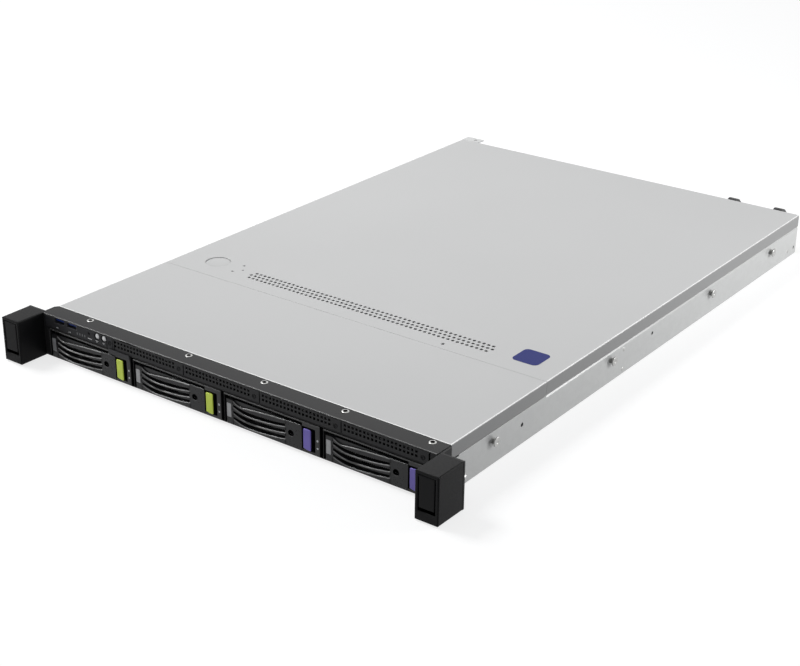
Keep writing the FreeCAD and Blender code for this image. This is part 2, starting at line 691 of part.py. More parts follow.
# ---------------------------------------------------------------- power supplies
def power_supply(centre):
    """Slide-out supply: can, rear face with mains inlet and vents, and a pull loop."""
    can = block(-PSU_HALF, PSU_HALF, PSU_FRONT, DEPTH - 0.2, 1.6, 40.6)
    blade = block(-18, 18, PSU_FRONT - 0.8, PSU_FRONT + 1, 7, 13)
    outer = rounded("yz", DEPTH - 12, LOOP_BACK, LOOP_LOW, LOOP_TOP, 9.0, -LOOP_HALF, LOOP_HALF)
    inner = rounded("yz", DEPTH - 15, LOOP_BACK - LOOP_BAR, LOOP_LOW + LOOP_BAR, LOOP_TOP - LOOP_BAR, 6.0,
                    -LOOP_HALF - 1, LOOP_HALF + 1)
    loop = minus(outer, [inner, block(-9, 9, 600, DEPTH - 0.5, 0, 43)])
    inlet = block(-24.5, -6.5, DEPTH - 18, DEPTH + 1, 7.5, 34.5)
    vents = [block(7, 18, DEPTH - 4, DEPTH + 1, z, z + 3.2) for z in (7, 12, 17, 22, 27, 32)]
    body = minus(join([can, blade]), [inlet] + vents)
    pins = [block(-16.4, -14.6, DEPTH - 19, DEPTH - 3, z, z + 4) for z in (12, 19, 26)]
    return shifted(join([body, loop] + pins), centre)


def psu_latch(centre):
    """Thumb tab beside the vents that frees the supply."""
    tab = prism("yz", [(DEPTH + 0.1, 13), (DEPTH + 12, 13), (DEPTH + 15, 16), (DEPTH + 15, 26),
                       (DEPTH + 12, 29), (DEPTH + 0.1, 29)], 21.0, 23.4)
    return shifted(tab, centre)


# ---------------------------------------------------------------- side hardware
def rail_studs():
    """Flanged studs on both sides that hang in the slide rails, and the low rivets beside them."""
    right = []
    for y in STUD_Y:
        neck = post("x", 2.6, 8, (SIDE, y, STUD_Z), 3.2)
        head = post("x", 4.3, 12, (SIDE + 3.0, y, STUD_Z), 1.4)
        right.append(join([neck, head]))
    for y, z in RIVETS_AT:
        right.append(post("x", 2.2, 8, (SIDE, y, z), 0.4))
    return Part.makeCompound(right + [mirrored(piece) for piece in right])


# ---------------------------------------------------------------- write every sub-part
def main():
    os.makedirs("parts", exist_ok=True)
    single = [chassis_base, cable_bracket, front_cover, top_cover, cover_label, rear_panel, front_frame,
              vent_grilles, control_panel, usb_ports, control_board, front_screws, drive_cage,
              drive_backplane, fan_housings, motherboard, cpu_heatsinks, memory_modules, air_baffle,
              riser_card, slot_filler, power_board, rear_ports, rail_studs]
    for maker in single:
        save(maker.__name__, maker())
    save("power_button", push_button(BUTTONS_AT[1][0], BUTTONS_AT[1][1], 2.45, PANEL_FRONT + 0.6))
    save("locate_button", push_button(BUTTONS_AT[0][0], BUTTONS_AT[0][1], 2.45, PANEL_FRONT + 0.6))
    save("reset_button", push_button(RESET_AT[0], RESET_AT[1], 1.1, PANEL_FRONT + 1.0))
    for name, maker in (("ear_bracket", ear_bracket), ("ear_cap", ear_cap), ("ear_flap", ear_flap),
                        ("captive_screw", captive_screw)):
        right = maker()
        save(name + "_right", right)
        save(name + "_left", mirrored(right))
    for number, k in enumerate(BAYS, start=1):
        centre = k * BAY_PITCH
        save("carrier_tray_%d" % number, carrier_tray(centre))
        save("carrier_handle_%d" % number, carrier_handle(centre))
        save("carrier_latch_%d" % number, carrier_latch(centre))
        save("hard_drive_%d" % number, hard_drive(centre))
    for number, x in enumerate(FAN_CENTRES, start=1):
        save("fan_rotor_%d" % number, fan_rotor(x))
    for number, centre in enumerate(PSU_CENTRES, start=1):
        save("power_supply_%d" % number, power_supply(centre))
        save("psu_latch_%d" % number, psu_latch(centre))


main()
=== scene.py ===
# %% [markdown]
# # A rack server, one unit high
#
# This lesson dresses a finished CAD model. The CAD model fixes every size and every joint,
# so Blender only adds what steel, plastic and light look like, and the small shapes that a
# plain solid leaves out. We start by loading the model and keeping its box, which sets the
# height of the table.

import json
import math

import bmesh
import bpy
from mathutils import Matrix, Vector


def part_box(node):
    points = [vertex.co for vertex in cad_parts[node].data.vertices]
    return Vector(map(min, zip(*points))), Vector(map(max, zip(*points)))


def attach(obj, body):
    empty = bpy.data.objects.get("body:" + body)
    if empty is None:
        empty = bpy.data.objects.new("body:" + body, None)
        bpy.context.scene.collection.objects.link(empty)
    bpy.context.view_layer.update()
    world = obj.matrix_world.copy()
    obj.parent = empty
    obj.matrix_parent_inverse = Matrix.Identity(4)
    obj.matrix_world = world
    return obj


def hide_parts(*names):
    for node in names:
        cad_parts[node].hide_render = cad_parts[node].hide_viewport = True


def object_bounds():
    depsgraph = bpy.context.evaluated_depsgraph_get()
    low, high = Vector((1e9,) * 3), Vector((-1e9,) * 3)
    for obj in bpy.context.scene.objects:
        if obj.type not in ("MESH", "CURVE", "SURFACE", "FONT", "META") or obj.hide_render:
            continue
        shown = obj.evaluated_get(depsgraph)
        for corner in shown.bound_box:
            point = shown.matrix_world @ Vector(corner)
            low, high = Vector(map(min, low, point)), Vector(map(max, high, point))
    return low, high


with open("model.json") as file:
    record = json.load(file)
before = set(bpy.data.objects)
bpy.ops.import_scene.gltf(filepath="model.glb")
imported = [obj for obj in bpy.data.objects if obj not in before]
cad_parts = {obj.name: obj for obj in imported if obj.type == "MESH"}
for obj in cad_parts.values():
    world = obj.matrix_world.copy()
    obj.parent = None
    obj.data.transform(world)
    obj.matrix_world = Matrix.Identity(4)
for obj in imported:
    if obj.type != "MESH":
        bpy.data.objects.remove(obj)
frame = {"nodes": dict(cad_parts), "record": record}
CAD_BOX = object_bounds()
MM = 0.001
NODES = frame["nodes"]
print("CAD nodes:", len(NODES), "box:", [round(v / MM, 1) for v in (CAD_BOX[1] - CAD_BOX[0])], "mm")

# %% [markdown]
# ## The camera
#
# A product shot of something this flat is taken from above one front corner, with a longish
# lens, so that the long cover narrows only a little. We could aim the camera at an empty with
# a constraint, but three angles and a place are easier to read and to change. The rotation
# matrix is put together from the three directions that a camera has: right, up and backwards.

# %% Camera
CAMERA_PLACE = Vector((810.3, -861.3, 612.8)) * MM
CAMERA_TURN = math.radians(36.18)
CAMERA_TILT = math.radians(24.25)
CAMERA_ROLL = math.radians(0.71)


def aim(turn, tilt, roll):
    """Rotation of a camera that looks back along the given turn and tilt."""
    forward = Vector((-math.sin(turn) * math.cos(tilt), math.cos(turn) * math.cos(tilt), -math.sin(tilt)))
    right = forward.cross(Vector((0, 0, 1))).normalized()
    up = right.cross(forward)
    rolled_right = right * math.cos(roll) + up * math.sin(roll)
    rolled_up = up * math.cos(roll) - right * math.sin(roll)
    return Matrix((rolled_right, rolled_up, -forward)).transposed().to_4x4()


camera_data = bpy.data.cameras.new("camera")
camera_data.lens = 70.44
camera_data.sensor_width = 36.0
camera_data.clip_start = 0.05
camera = bpy.data.objects.new("camera", camera_data)
camera.matrix_world = Matrix.Translation(CAMERA_PLACE) @ aim(CAMERA_TURN, CAMERA_TILT, CAMERA_ROLL)
bpy.context.scene.collection.objects.link(camera)
bpy.context.scene.camera = camera
print("camera", round(camera_data.lens, 1), "mm lens at", [round(v, 2) for v in CAMERA_PLACE])

# %% [markdown]
# ## Studio
#
# The server stands on a white table. A large soft lamp above lights the cover, and a weaker
# one on each side keeps the walls and the black front readable. The world gives an even fill.
# Where the camera looks straight at the table or the world it should see white, and light
# itself should stay at a plain level: the Light Path node tells these cases apart.

# %% Studio light and table
TABLE_SIZE = 8.0


def seen_directly(nodes, links):
    """1 for rays from the camera, a mirror or glass, and 0 for rays that only carry light."""
    path = nodes.new("ShaderNodeLightPath")
    seen = path.outputs["Is Camera Ray"]
    for ray in ("Is Glossy Ray", "Is Transmission Ray"):
        either = nodes.new("ShaderNodeMath")
        either.operation = "MAXIMUM"
        links.new(seen, either.inputs[0])
        links.new(path.outputs[ray], either.inputs[1])
        seen = either.outputs[0]
    return seen


def make_world():
    """White where it is seen, softer grey where it lights."""
    world = bpy.data.worlds.new("studio")
    world.use_nodes = True
    nodes = world.node_tree.nodes
    links = world.node_tree.links
    nodes.clear()
    fill = nodes.new("ShaderNodeBackground")
    fill.inputs["Color"].default_value = (0.93, 0.96, 1.0, 1)
    fill.inputs["Strength"].default_value = 0.3
    white = nodes.new("ShaderNodeBackground")
    white.inputs["Color"].default_value = (1, 1, 1, 1)
    white.inputs["Strength"].default_value = 1.0
    mix = nodes.new("ShaderNodeMixShader")
    links.new(seen_directly(nodes, links), mix.inputs["Fac"])
    links.new(fill.outputs[0], mix.inputs[1])
    links.new(white.outputs[0], mix.inputs[2])
    output = nodes.new("ShaderNodeOutputWorld")
    links.new(mix.outputs[0], output.inputs["Surface"])
    bpy.context.scene.world = world


def soft_lamp(name, place, target, size, power):
    """A square area lamp that faces a point."""
    data = bpy.data.lights.new(name, "AREA")
    data.size = size
    data.energy = power
    lamp = bpy.data.objects.new(name, data)
    way = Vector(target) - Vector(place)
    facing = way.to_track_quat("-Z", "Y").to_matrix().to_4x4()
    lamp.matrix_world = Matrix.Translation(Vector(place)) @ facing
    bpy.context.scene.collection.objects.link(lamp)


def make_table():
    """White matt table that keeps a faint contact shadow."""
    mesh = bpy.data.meshes.new("table")
    half = TABLE_SIZE / 2
    low = CAD_BOX[0].z - 0.0002
    mesh.from_pydata([(-half, -half, low), (half, -half, low), (half, half, low), (-half, half, low)],
                     [], [(0, 1, 2, 3)])
    table = bpy.data.objects.new("table", mesh)
    bpy.context.scene.collection.objects.link(table)
    material = bpy.data.materials.new("table_white")
    material.use_nodes = True
    nodes = material.node_tree.nodes
    links = material.node_tree.links
    nodes.clear()
    cloth = nodes.new("ShaderNodeBsdfDiffuse")
    cloth.inputs["Color"].default_value = (0.34, 0.34, 0.34, 1)
    glow = nodes.new("ShaderNodeEmission")
    glow.inputs["Color"].default_value = (1, 1, 1, 1)
    lift = nodes.new("ShaderNodeMath")
    lift.operation = "MULTIPLY"
    lift.inputs[1].default_value = 0.75
    links.new(seen_directly(nodes, links), lift.inputs[0])
    links.new(lift.outputs[0], glow.inputs["Strength"])
    add = nodes.new("ShaderNodeAddShader")
    links.new(cloth.outputs[0], add.inputs[0])
    links.new(glow.outputs[0], add.inputs[1])
    output = nodes.new("ShaderNodeOutputMaterial")
    links.new(add.outputs[0], output.inputs["Surface"])
    mesh.materials.append(material)


make_world()
make_table()
soft_lamp("lamp_upper_left", (-1.6, -0.1, 2.0), (0, 0.25, 0), 0.9, 42)
soft_lamp("lamp_behind", (-1.5, 2.5, 1.5), (0, 0.2, 0), 1.6, 7)
soft_lamp("lamp_left_front", (-0.9, -0.8, 0.25), (-0.23, 0, 0), 0.3, 2.2)
soft_lamp("lamp_right", (0.85, 0.75, 0.25), (0.22, 0.5, 0.0), 0.4, 4.6)
bpy.context.scene.view_settings.view_transform = "Standard"
print("studio: world, table and 4 lamps")

# %% [markdown]
# ## Helpers for materials
#
# Every finish below is made of the same few ideas: a colour that varies slowly, a fine grain
# that bends the light, and a roughness that wavers a little. These helpers keep each material
# short. Patterns read Object coordinates, which are the shared frame in metres, so a grain of
# half a millimetre is written as 0.5 and stays that size on every part.


# %% Helpers for materials
FINISHES = {}


class Finish:
    """One Principled material under construction, kept in FINISHES under its slot's name."""

    def __init__(self, slot, colour, roughness, metallic=0.0):
        self.material = bpy.data.materials.new(slot + "_finish")
        FINISHES[slot] = self.material
        self.material.use_nodes = True
        self.nodes = self.material.node_tree.nodes
        self.links = self.material.node_tree.links
        self.shader = self.nodes["Principled BSDF"]
        self.colour = colour
        self.shader.inputs["Base Color"].default_value = (*colour, 1)
        self.shader.inputs["Roughness"].default_value = roughness
        self.shader.inputs["Metallic"].default_value = metallic
        self.height = None

    def glint(self, radius_mm):
        """Shade sharp edges as if they had a small radius."""
        edge = self.nodes.new("ShaderNodeBevel")
        edge.samples = 6
        edge.inputs["Radius"].default_value = radius_mm * MM
        self.height = edge.outputs["Normal"]
        self.links.new(self.height, self.shader.inputs["Normal"])
        return self

    def coordinates(self, stretch=(1, 1, 1)):
        """Object coordinates, stretched along an axis for brushed or drawn surfaces."""
        source = self.nodes.new("ShaderNodeTexCoord")
        mapping = self.nodes.new("ShaderNodeMapping")
        mapping.inputs["Scale"].default_value = stretch
        self.links.new(source.outputs["Object"], mapping.inputs["Vector"])
        return mapping.outputs["Vector"]

    def noise(self, size_mm, detail=2.0, stretch=(1, 1, 1)):
        """Smooth noise whose lumps are about size_mm across."""
        texture = self.nodes.new("ShaderNodeTexNoise")
        texture.inputs["Scale"].default_value = 1 / (size_mm * MM)
        texture.inputs["Detail"].default_value = detail
        self.links.new(self.coordinates(stretch), texture.inputs["Vector"])
        return texture.outputs["Fac"]

    def cells(self, size_mm, output="Color"):
        """Flat random cells, such as the spangle of zinc."""
        texture = self.nodes.new("ShaderNodeTexVoronoi")
        texture.inputs["Scale"].default_value = 1 / (size_mm * MM)
        self.links.new(self.coordinates(), texture.inputs["Vector"])
        return texture.outputs[output]

    def pattern(self, sizes):
        """Crystals of one size in mm, or noise from a size, a detail and maybe a stretch."""
        return self.noise(*sizes) if isinstance(sizes, tuple) else self.cells(sizes)

    def shine(self, level):
        """How much a bare surface mirrors straight on; 0.5 is plain plastic."""
        self.shader.inputs["Specular IOR Level"].default_value = level
        return self

    def spread(self, value, low, high):
        """Map the middle half of 0..1, where noise mostly lies, to low..high."""
        span = self.nodes.new("ShaderNodeMapRange")
        span.inputs["From Min"].default_value = 0.25
        span.inputs["From Max"].default_value = 0.75
        span.inputs["To Min"].default_value = low
        span.inputs["To Max"].default_value = high
        self.links.new(value, span.inputs["Value"])
        return span.outputs["Result"]

    def tint(self, value, amount):
        """Vary the colour's brightness by plus or minus amount."""
        bright = self.nodes.new("ShaderNodeHueSaturation")
        bright.inputs["Color"].default_value = (*self.colour, 1)
        self.links.new(self.spread(value, 1 - amount, 1 + amount), bright.inputs["Value"])
        self.links.new(bright.outputs["Color"], self.shader.inputs["Base Color"])
        return self

    def waver(self, value, low, high):
        """Let the roughness wander between two values."""
        self.links.new(self.spread(value, low, high), self.shader.inputs["Roughness"])
        return self

    def grain(self, value, depth_mm, strength=1.0):
        """Add a height pattern to the surface."""
        bump = self.nodes.new("ShaderNodeBump")
        bump.inputs["Distance"].default_value = depth_mm * MM
        bump.inputs["Strength"].default_value = strength
        self.links.new(value, bump.inputs["Height"])
        if self.height is not None:
            self.links.new(self.height, bump.inputs["Normal"])
        self.height = bump.outputs["Normal"]
        self.links.new(self.height, self.shader.inputs["Normal"])
        return self


print("material helpers ready")

# %% [markdown]
# ## Metals
#
# The lid and the chassis are cut from zinc-coated steel. Zinc grows in flat crystals, which
# show as faint patches, and the coil leaves long rolling lines. On the lid the coating is
# finer and duller than on the walls. The black frame is the same sheet with powder paint,
# whose surface is like fine orange peel. Screws and connectors are smoother and brighter.

# %% Metals
ROLLED = (1, 0.05, 1)


def metal(name, colour, roughness, metallic, glint=0, shine=None, tint=None, waver=None, grain=None):
    """One metal; tint, waver and grain each start with the sizes of the pattern that drives them."""
    make = Finish(name, colour, roughness, metallic)
    if glint:
        make.glint(glint)
    if shine is not None:
        make.shine(shine)
    if tint:
        make.tint(make.pattern(tint[0]), tint[1])
    if waver:
        make.waver(make.pattern(waver[0]), *waver[1:])
    if grain:
        make.grain(make.pattern(grain[0]), grain[1])


# sheet of the covers, their sides darkened as painted shade, the walls, hems whose near-white is painted
# highlight, and the painted frame
metal("lid_paint", (0.54, 0.54, 0.537), 0.42, 0.12, 0.3, 0.25, ((160, 1), 0.012), ((0.8, 3), 0.38, 0.5),
      ((0.6, 2), 0.004))
metal("painted_shade_cover_side", (0.3, 0.3, 0.3), 0.5, 0.1, 0.3, 0.15, grain=((1.5, 3, ROLLED), 0.004))
metal("galvanised_steel", (0.54, 0.545, 0.54), 0.36, 0.3, 0.3, 0.3, (5.0, 0.016),
      ((2.5, 4, (1, 0.06, 1)), 0.32, 0.42), ((1.5, 3, ROLLED), 0.006))
metal("painted_highlight_hem", (0.9, 0.9, 0.89), 0.3, 0.1, waver=((3.0, 2), 0.24, 0.36))
metal("frame_black", (0.018, 0.018, 0.0185), 0.4, 0.0, 0.25, 0.12, waver=((0.9, 3), 0.34, 0.48),
      grain=((0.7, 2), 0.012))
# plated and blackened screws
metal("screw_steel", (0.46, 0.46, 0.45), 0.32, 0.85, 0.2, tint=((1.2, 2), 0.06), grain=((0.25, 2), 0.003))
metal("blackened_steel", (0.008, 0.008, 0.009), 0.4, 0.0, 0.15, 0.1, grain=((0.3, 2), 0.004))
# socket shells at the rear, a darker copy for the front as painted shade, and contacts
metal("port_steel", (0.62, 0.62, 0.61), 0.26, 0.9, waver=((1.0, 2), 0.2, 0.36))
metal("painted_shade_usb_steel", (0.09, 0.09, 0.095), 0.3, 0.7, waver=((1.0, 2), 0.24, 0.38))
metal("contact_gold", (0.75, 0.52, 0.2), 0.28, 1.0, waver=((0.6, 2), 0.22, 0.36))
# fins drawn along their length, cast drive bodies, and the plated cans of the supplies
metal("heatsink", (0.74, 0.74, 0.75), 0.32, 0.9, waver=((0.8, 3, (1, 0.04, 1)), 0.24, 0.42))
metal("drive_alloy", (0.55, 0.56, 0.57), 0.45, 0.8, 0.4, grain=((0.4, 3), 0.02))
metal("psu_can", (0.5, 0.5, 0.49), 0.38, 0.8, 0.4, tint=(3.5, 0.04), waver=((2.0, 3), 0.3, 0.46))
print("metals:", sorted(FINISHES))

# %% [markdown]
# ## Plastics and boards
#
# The mouldings are black or dark grey with the fine spark-eroded texture that hides finger
# marks. Latches and buttons are glossier, because hands polish them. A circuit board is a dull
# green varnish over copper: tracks show through it as slightly raised, slightly lighter lines.


# %% Plastics and boards
def moulded(name, colour, roughness, depth_mm=0.012, gloss=0.12):
    """Moulded plastic, spark-eroded unless its depth is 0."""
    make = Finish(name, colour, roughness)
    make.shine(gloss)
    make.waver(make.noise(1.6, 3), roughness - 0.06, roughness + 0.08)
    if depth_mm > 0:
        make.glint(0.2)
        make.grain(make.noise(0.35, 2), depth_mm)


def glossy(name, colour, roughness=0.28):
    """Polished plastic with faint handling marks."""
    make = Finish(name, colour, roughness).glint(0.2)
    make.tint(make.noise(9, 2), 0.05)
    make.waver(make.noise(2.4, 4), roughness - 0.08, roughness + 0.12)


def varnished_board():
    """Green board with raised tracks."""
    make = Finish("board", (0.012, 0.085, 0.04), 0.35)
    tracks = make.cells(3.0, "Distance")
    make.tint(tracks, 0.35)
    make.grain(tracks, 0.03)


def clear_window():
    """Smoky clear plastic over a paper strip, seen as one grey surface."""
    make = Finish("smoky_window", (0.42, 0.42, 0.425), 0.16)
    make.tint(make.noise(3.5, 2), 0.12)
    make.waver(make.noise(1.2, 3), 0.08, 0.2)


moulded("bezel_plastic", (0.008, 0.008, 0.0085), 0.34, 0.006, 0.35)
moulded("cap_black", (0.006, 0.006, 0.0065), 0.42, 0.006, 0.09)
moulded("panel_plastic", (0.026, 0.026, 0.028), 0.42)
# A lighter copy of the frame's black for the strip's front faces: painted light.
moulded("painted_light_black_strip", (0.034, 0.034, 0.035), 0.44, 0.008)
moulded("handle_plastic", (0.017, 0.017, 0.018), 0.3, 0, 0.25)
# Lighter and glossier than the handle plastic: painted highlight on the crests of bars, band and trays.
moulded("painted_highlight_crest", (0.035, 0.035, 0.036), 0.24, 0, 1.0)
# Pure black without sheen: painted shade in sockets, slots, joints, vents and recesses.
moulded("painted_shade_black", (0.002, 0.002, 0.002), 0.8, 0, 0.0)
moulded("fan_plastic", (0.018, 0.018, 0.018), 0.5)
moulded("baffle_plastic", (0.02, 0.02, 0.022), 0.48)
moulded("label_blue", (0.042, 0.05, 0.19), 0.5, 0.003, 0.05)
moulded("port_blue", (0.015, 0.035, 0.17), 0.35, 0.003)
moulded("memory", (0.015, 0.07, 0.035), 0.4)
moulded("chip_black", (0.014, 0.014, 0.015), 0.4)
moulded("plate_grey", (0.055, 0.055, 0.058), 0.4)
moulded("printed_mark", (0.92, 0.92, 0.92), 0.5, 0.002)
moulded("lens_grey", (0.17, 0.172, 0.175), 0.3, 0.004)
glossy("latch_green", (0.74, 0.9, 0.1), 0.36)
glossy("latch_purple", (0.19, 0.145, 0.56), 0.36)
glossy("release_plastic", (0.42, 0.56, 0.055), 0.32)
glossy("rotor_plastic", (0.02, 0.02, 0.022))
glossy("button_white", (0.95, 0.95, 0.95), 0.3)
glossy("lamp_white", (0.62, 0.63, 0.65), 0.22)
varnished_board()
clear_window()
print("finishes:", len(FINISHES))

# %% [markdown]
# ## Dress the CAD nodes
#
# Most CAD nodes have the right shape already. The record names a material slot for each, so
# the finish is looked up by that name instead of being listed again here. Only the front
# sockets and the filler plates differ: the sockets take a darker copy of the port steel as
# painted shade, and the filler plates a lighter copy of the frame's black as painted light.

# %% Dress the CAD nodes
slot_of = {part["node"]: part["material_slot"] for part in frame["record"]["subparts"]}


def dress(piece, slot):
    """Give a piece one finish on all its faces."""
    piece.data.materials.clear()
    piece.data.materials.append(FINISHES[slot])


for node_name, node in NODES.items():
    dress(node, slot_of[node_name])
# Darker front sockets are painted shade, lighter filler plates painted light.
dress(NODES["usb_ports"], "painted_shade_usb_steel")
dress(NODES["vent_grilles"], "painted_light_black_strip")
print("dressed", len(NODES), "nodes in", len(set(slot_of.values())), "finishes")

# %% [markdown]
# ## Helpers for pieces
#
# A new piece is built as a plain mesh in its final place, takes a finish, and rides on a body
# of the CAD model. Many pieces are an outline pushed along an axis, or a profile turned round
# one, so those two get a helper each. The third helper copies a CAD node and rounds its edges:
# moulded and painted parts never have sharp edges, and a small round edge catches the light.

# %% Helpers for pieces
def add_piece(name, mesh, finish, body, stands_for=()):
    """Link a finished mesh, give it a finish and let it ride on a body."""
    piece = bpy.data.objects.new(name, mesh)
    bpy.context.scene.collection.objects.link(piece)
    dress(piece, finish)
    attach(piece, body)
    if stands_for:
        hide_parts(*stands_for)
    return piece


def evaluated_copy(source):
    """The mesh of an object with its modifiers applied; the object itself is thrown away."""
    bpy.context.scene.collection.objects.link(source)
    graph = bpy.context.evaluated_depsgraph_get()
    result = bpy.data.meshes.new_from_object(source.evaluated_get(graph))
    bpy.data.objects.remove(source)
    return result


def even_shading(mesh, sharper_than=50):
    """Smooth round edges without bending the look of the large flat faces beside them."""
    mesh.shade_smooth()
    mesh.set_sharp_from_angle(angle=math.radians(sharper_than))
    source = bpy.data.objects.new("source", mesh)
    weigh = source.modifiers.new("large_faces_win", "WEIGHTED_NORMAL")
    weigh.keep_sharp = True
    weigh.weight = 90
    return evaluated_copy(source)


def mesh_from(build, sharper_than=35):
    """Turn a bmesh into a mesh with outward faces and clean shading."""
    mesh = bpy.data.meshes.new("part")
    bmesh.ops.remove_doubles(build, verts=build.verts, dist=0.002 * MM)
    bmesh.ops.recalc_face_normals(build, faces=build.faces)
    build.to_mesh(mesh)
    build.free()
    return even_shading(mesh, sharper_than)


def axes_of(axis):
    """Indices of the two in-plane axes and of the axis itself."""
    return {"x": (1, 2, 0), "y": (0, 2, 1), "z": (0, 1, 2)}[axis]


def push(build, axis, outline, low, high):
    """Add an outline in mm, pushed along an axis."""
    u_axis, v_axis, w_axis = axes_of(axis)
    rings = []
    for w in (low, high):
        ring = []
        for u, v in outline:
            place = [0, 0, 0]
            place[u_axis], place[v_axis], place[w_axis] = u * MM, v * MM, w * MM
            ring.append(build.verts.new(place))
        rings.append(ring)
    count = len(outline)
    for i in range(count):
        j = (i + 1) % count
        build.faces.new((rings[0][i], rings[0][j], rings[1][j], rings[1][i]))
    build.faces.new(rings[0])
    build.faces.new(rings[1])


def turn(build, axis, centre, profile, sides=32):
    """Add a profile of (radius, height) pairs in mm, turned round an axis through centre."""
    u_axis, v_axis, w_axis = axes_of(axis)
    rings = []
    for radius, height in profile:
        ring = []
        for k in range(sides if radius > 0 else 1):
            angle = 2 * math.pi * k / sides
            place = [0, 0, height * MM]
            place[u_axis] = (centre[0] + radius * math.cos(angle)) * MM
            place[v_axis] = (centre[1] + radius * math.sin(angle)) * MM
            place[w_axis] = height * MM
            ring.append(build.verts.new(place))
        rings.append(ring)
    for near, far in zip(rings, rings[1:]):
        for k in range(sides):
            corners = [near[k % len(near)], near[(k + 1) % len(near)],
                       far[(k + 1) % len(far)], far[k % len(far)]]
            corners = [c for i, c in enumerate(corners) if c not in corners[:i]]
            if len(corners) > 2:
                build.faces.new(corners)
    for ring in (rings[0], rings[-1]):
        if len(ring) > 2:
            build.faces.new(ring)


def rounded_outline(u0, u1, v0, v1, radius, steps=5):
    """Corner points in mm of a rectangle with round corners."""
    points = []
    for cu, cv, start in ((u1 - radius, v1 - radius, 0), (u0 + radius, v1 - radius, 90),
                          (u0 + radius, v0 + radius, 180), (u1 - radius, v0 + radius, 270)):
        for k in range(steps + 1):
            angle = math.radians(start + 90 * k / steps)
            points.append((cu + radius * math.cos(angle), cv + radius * math.sin(angle)))
    return points


def box_mm(node):
    """Lowest and highest corner of a CAD node in mm."""
    low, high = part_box(node)
    return low / MM, high / MM


def merged_copy(node):
    """A bmesh of a CAD node with its loose triangles joined."""
    build = bmesh.new()
    build.from_mesh(NODES[node].data)
    bmesh.ops.remove_doubles(build, verts=build.verts, dist=0.001 * MM)
    return build


CORNER = math.radians(35)


def round_node(node, width_mm, shortest_mm):
    """A piece that stands for a CAD node, with small round edges along its longer corners."""
    build = merged_copy(node)
    corners = [edge for edge in build.edges
               if edge.calc_face_angle(0) > CORNER and edge.calc_length() > shortest_mm * MM]
    bmesh.ops.bevel(build, geom=corners, offset=width_mm * MM, offset_type="OFFSET", segments=2,
                    profile=0.5, affect="EDGES", clamp_overlap=False, miter_outer="ARC")
    mesh = bpy.data.meshes.new(node)
    build.to_mesh(mesh)
    build.free()
    finish = "cap_black" if node.startswith("ear_") else slot_of[node]
    return add_piece(node + "_soft", even_shading(mesh), finish, body_of_node[node], (node,))


def finish_by_place(piece, rules):
    """Let some faces of a piece take another finish, by each one's place in mm and direction."""
    for finish, test in rules:
        piece.data.materials.append(FINISHES[finish])
        for face in piece.data.polygons:
            if test(face.center / MM, face.normal):
                face.material_index = len(piece.data.materials) - 1


def dressed_by_place(node, rules):
    """Copy of a CAD node whose flat faces are whole and take a finish by place and direction."""
    build = merged_copy(node)
    bmesh.ops.dissolve_limit(build, angle_limit=math.radians(0.5), verts=build.verts,
                             edges=build.edges)
    mesh = bpy.data.meshes.new(node)
    build.to_mesh(mesh)
    build.free()
    piece = add_piece(node + "_dressed", even_shading(mesh), slot_of[node], body_of_node[node], (node,))
    finish_by_place(piece, rules)
    return piece


body_of_node = {}
for body_name, members in frame["record"]["behaviour"]["bodies"].items():
    for member in members:
        body_of_node[member] = body_name
print("piece helpers ready;", len(body_of_node), "nodes know their body")

# %% [markdown]
# ## Rounded mouldings
#
# The bezels of the drive carriers, the ear caps and their flaps are injection mouldings, and the
# black frame is folded sheet under powder paint. All of them have edge radii of a few tenths of
# a millimetre. A Bevel modifier could do this too, but here the mesh is bevelled directly, so
# that only the longer corners are rounded and small details keep their shape.

# %% Rounded mouldings
EDGE_RADII = {"ear_cap": (0.7, 4.0), "ear_flap": (0.35, 6.0), "carrier_tray": (0.4, 1.5),
              "front_frame": (0.35, 3.0), "control_panel": (0.15, 1.5)}
rounded = []
for node_name in sorted(NODES):
    for stem, (radius, shortest) in EDGE_RADII.items():
        if node_name.startswith(stem):
            rounded.append(round_node(node_name, radius, shortest))
print("rounded pieces:", len(rounded), "with", sum(len(p.data.polygons) for p in rounded), "faces")

# %% [markdown]
# ## Helpers for Geometry Nodes
#
# Screws, rivets, vents and fins repeat. A Geometry Nodes tree makes all copies at once from a
# cloud of points, and one change of the master shape reaches every copy. The small class below
# only saves typing: it adds nodes, links sockets and gives the tree named inputs. A modifier's
# inputs are set by the identifiers of these sockets before Blender evaluates it.

# %% Helpers for Geometry Nodes
class Tree:
    """A Geometry Nodes tree under construction."""

    def __init__(self, name):
        self.group = bpy.data.node_groups.new(name, "GeometryNodeTree")
        self.new_socket("Geometry", "NodeSocketGeometry", "INPUT")
        self.new_socket("Geometry", "NodeSocketGeometry", "OUTPUT")
        self.given = self.group.nodes.new("NodeGroupInput")

    def new_socket(self, name, kind, way="INPUT"):
        return self.group.interface.new_socket(name, in_out=way, socket_type=kind)

    def ask(self, name, kind="NodeSocketFloat"):
        """A named input of the tree."""
        self.new_socket(name, kind)
        return self.given.outputs[name]

    def add(self, kind, values=None, **settings):
        """A node with some inputs linked or set, and with settings such as its operation."""
        node = self.group.nodes.new(kind)
        for setting, value in settings.items():
            setattr(node, setting, value)
        for name, value in (values or {}).items():
            if isinstance(value, bpy.types.NodeSocket):
                self.group.links.new(value, node.inputs[name])
            else:
                node.inputs[name].default_value = value
        return node

    def close(self, geometry):
        """Realize Instances, Set Material and the output."""
        finish = self.ask("Finish", "NodeSocketMaterial")
        real = self.add("GeometryNodeRealizeInstances", {"Geometry": geometry})
        coat = self.add("GeometryNodeSetMaterial", {"Geometry": real.outputs[0], "Material": finish})
        output = self.group.nodes.new("NodeGroupOutput")
        self.group.links.new(coat.outputs[0], output.inputs["Geometry"])
        return self.group


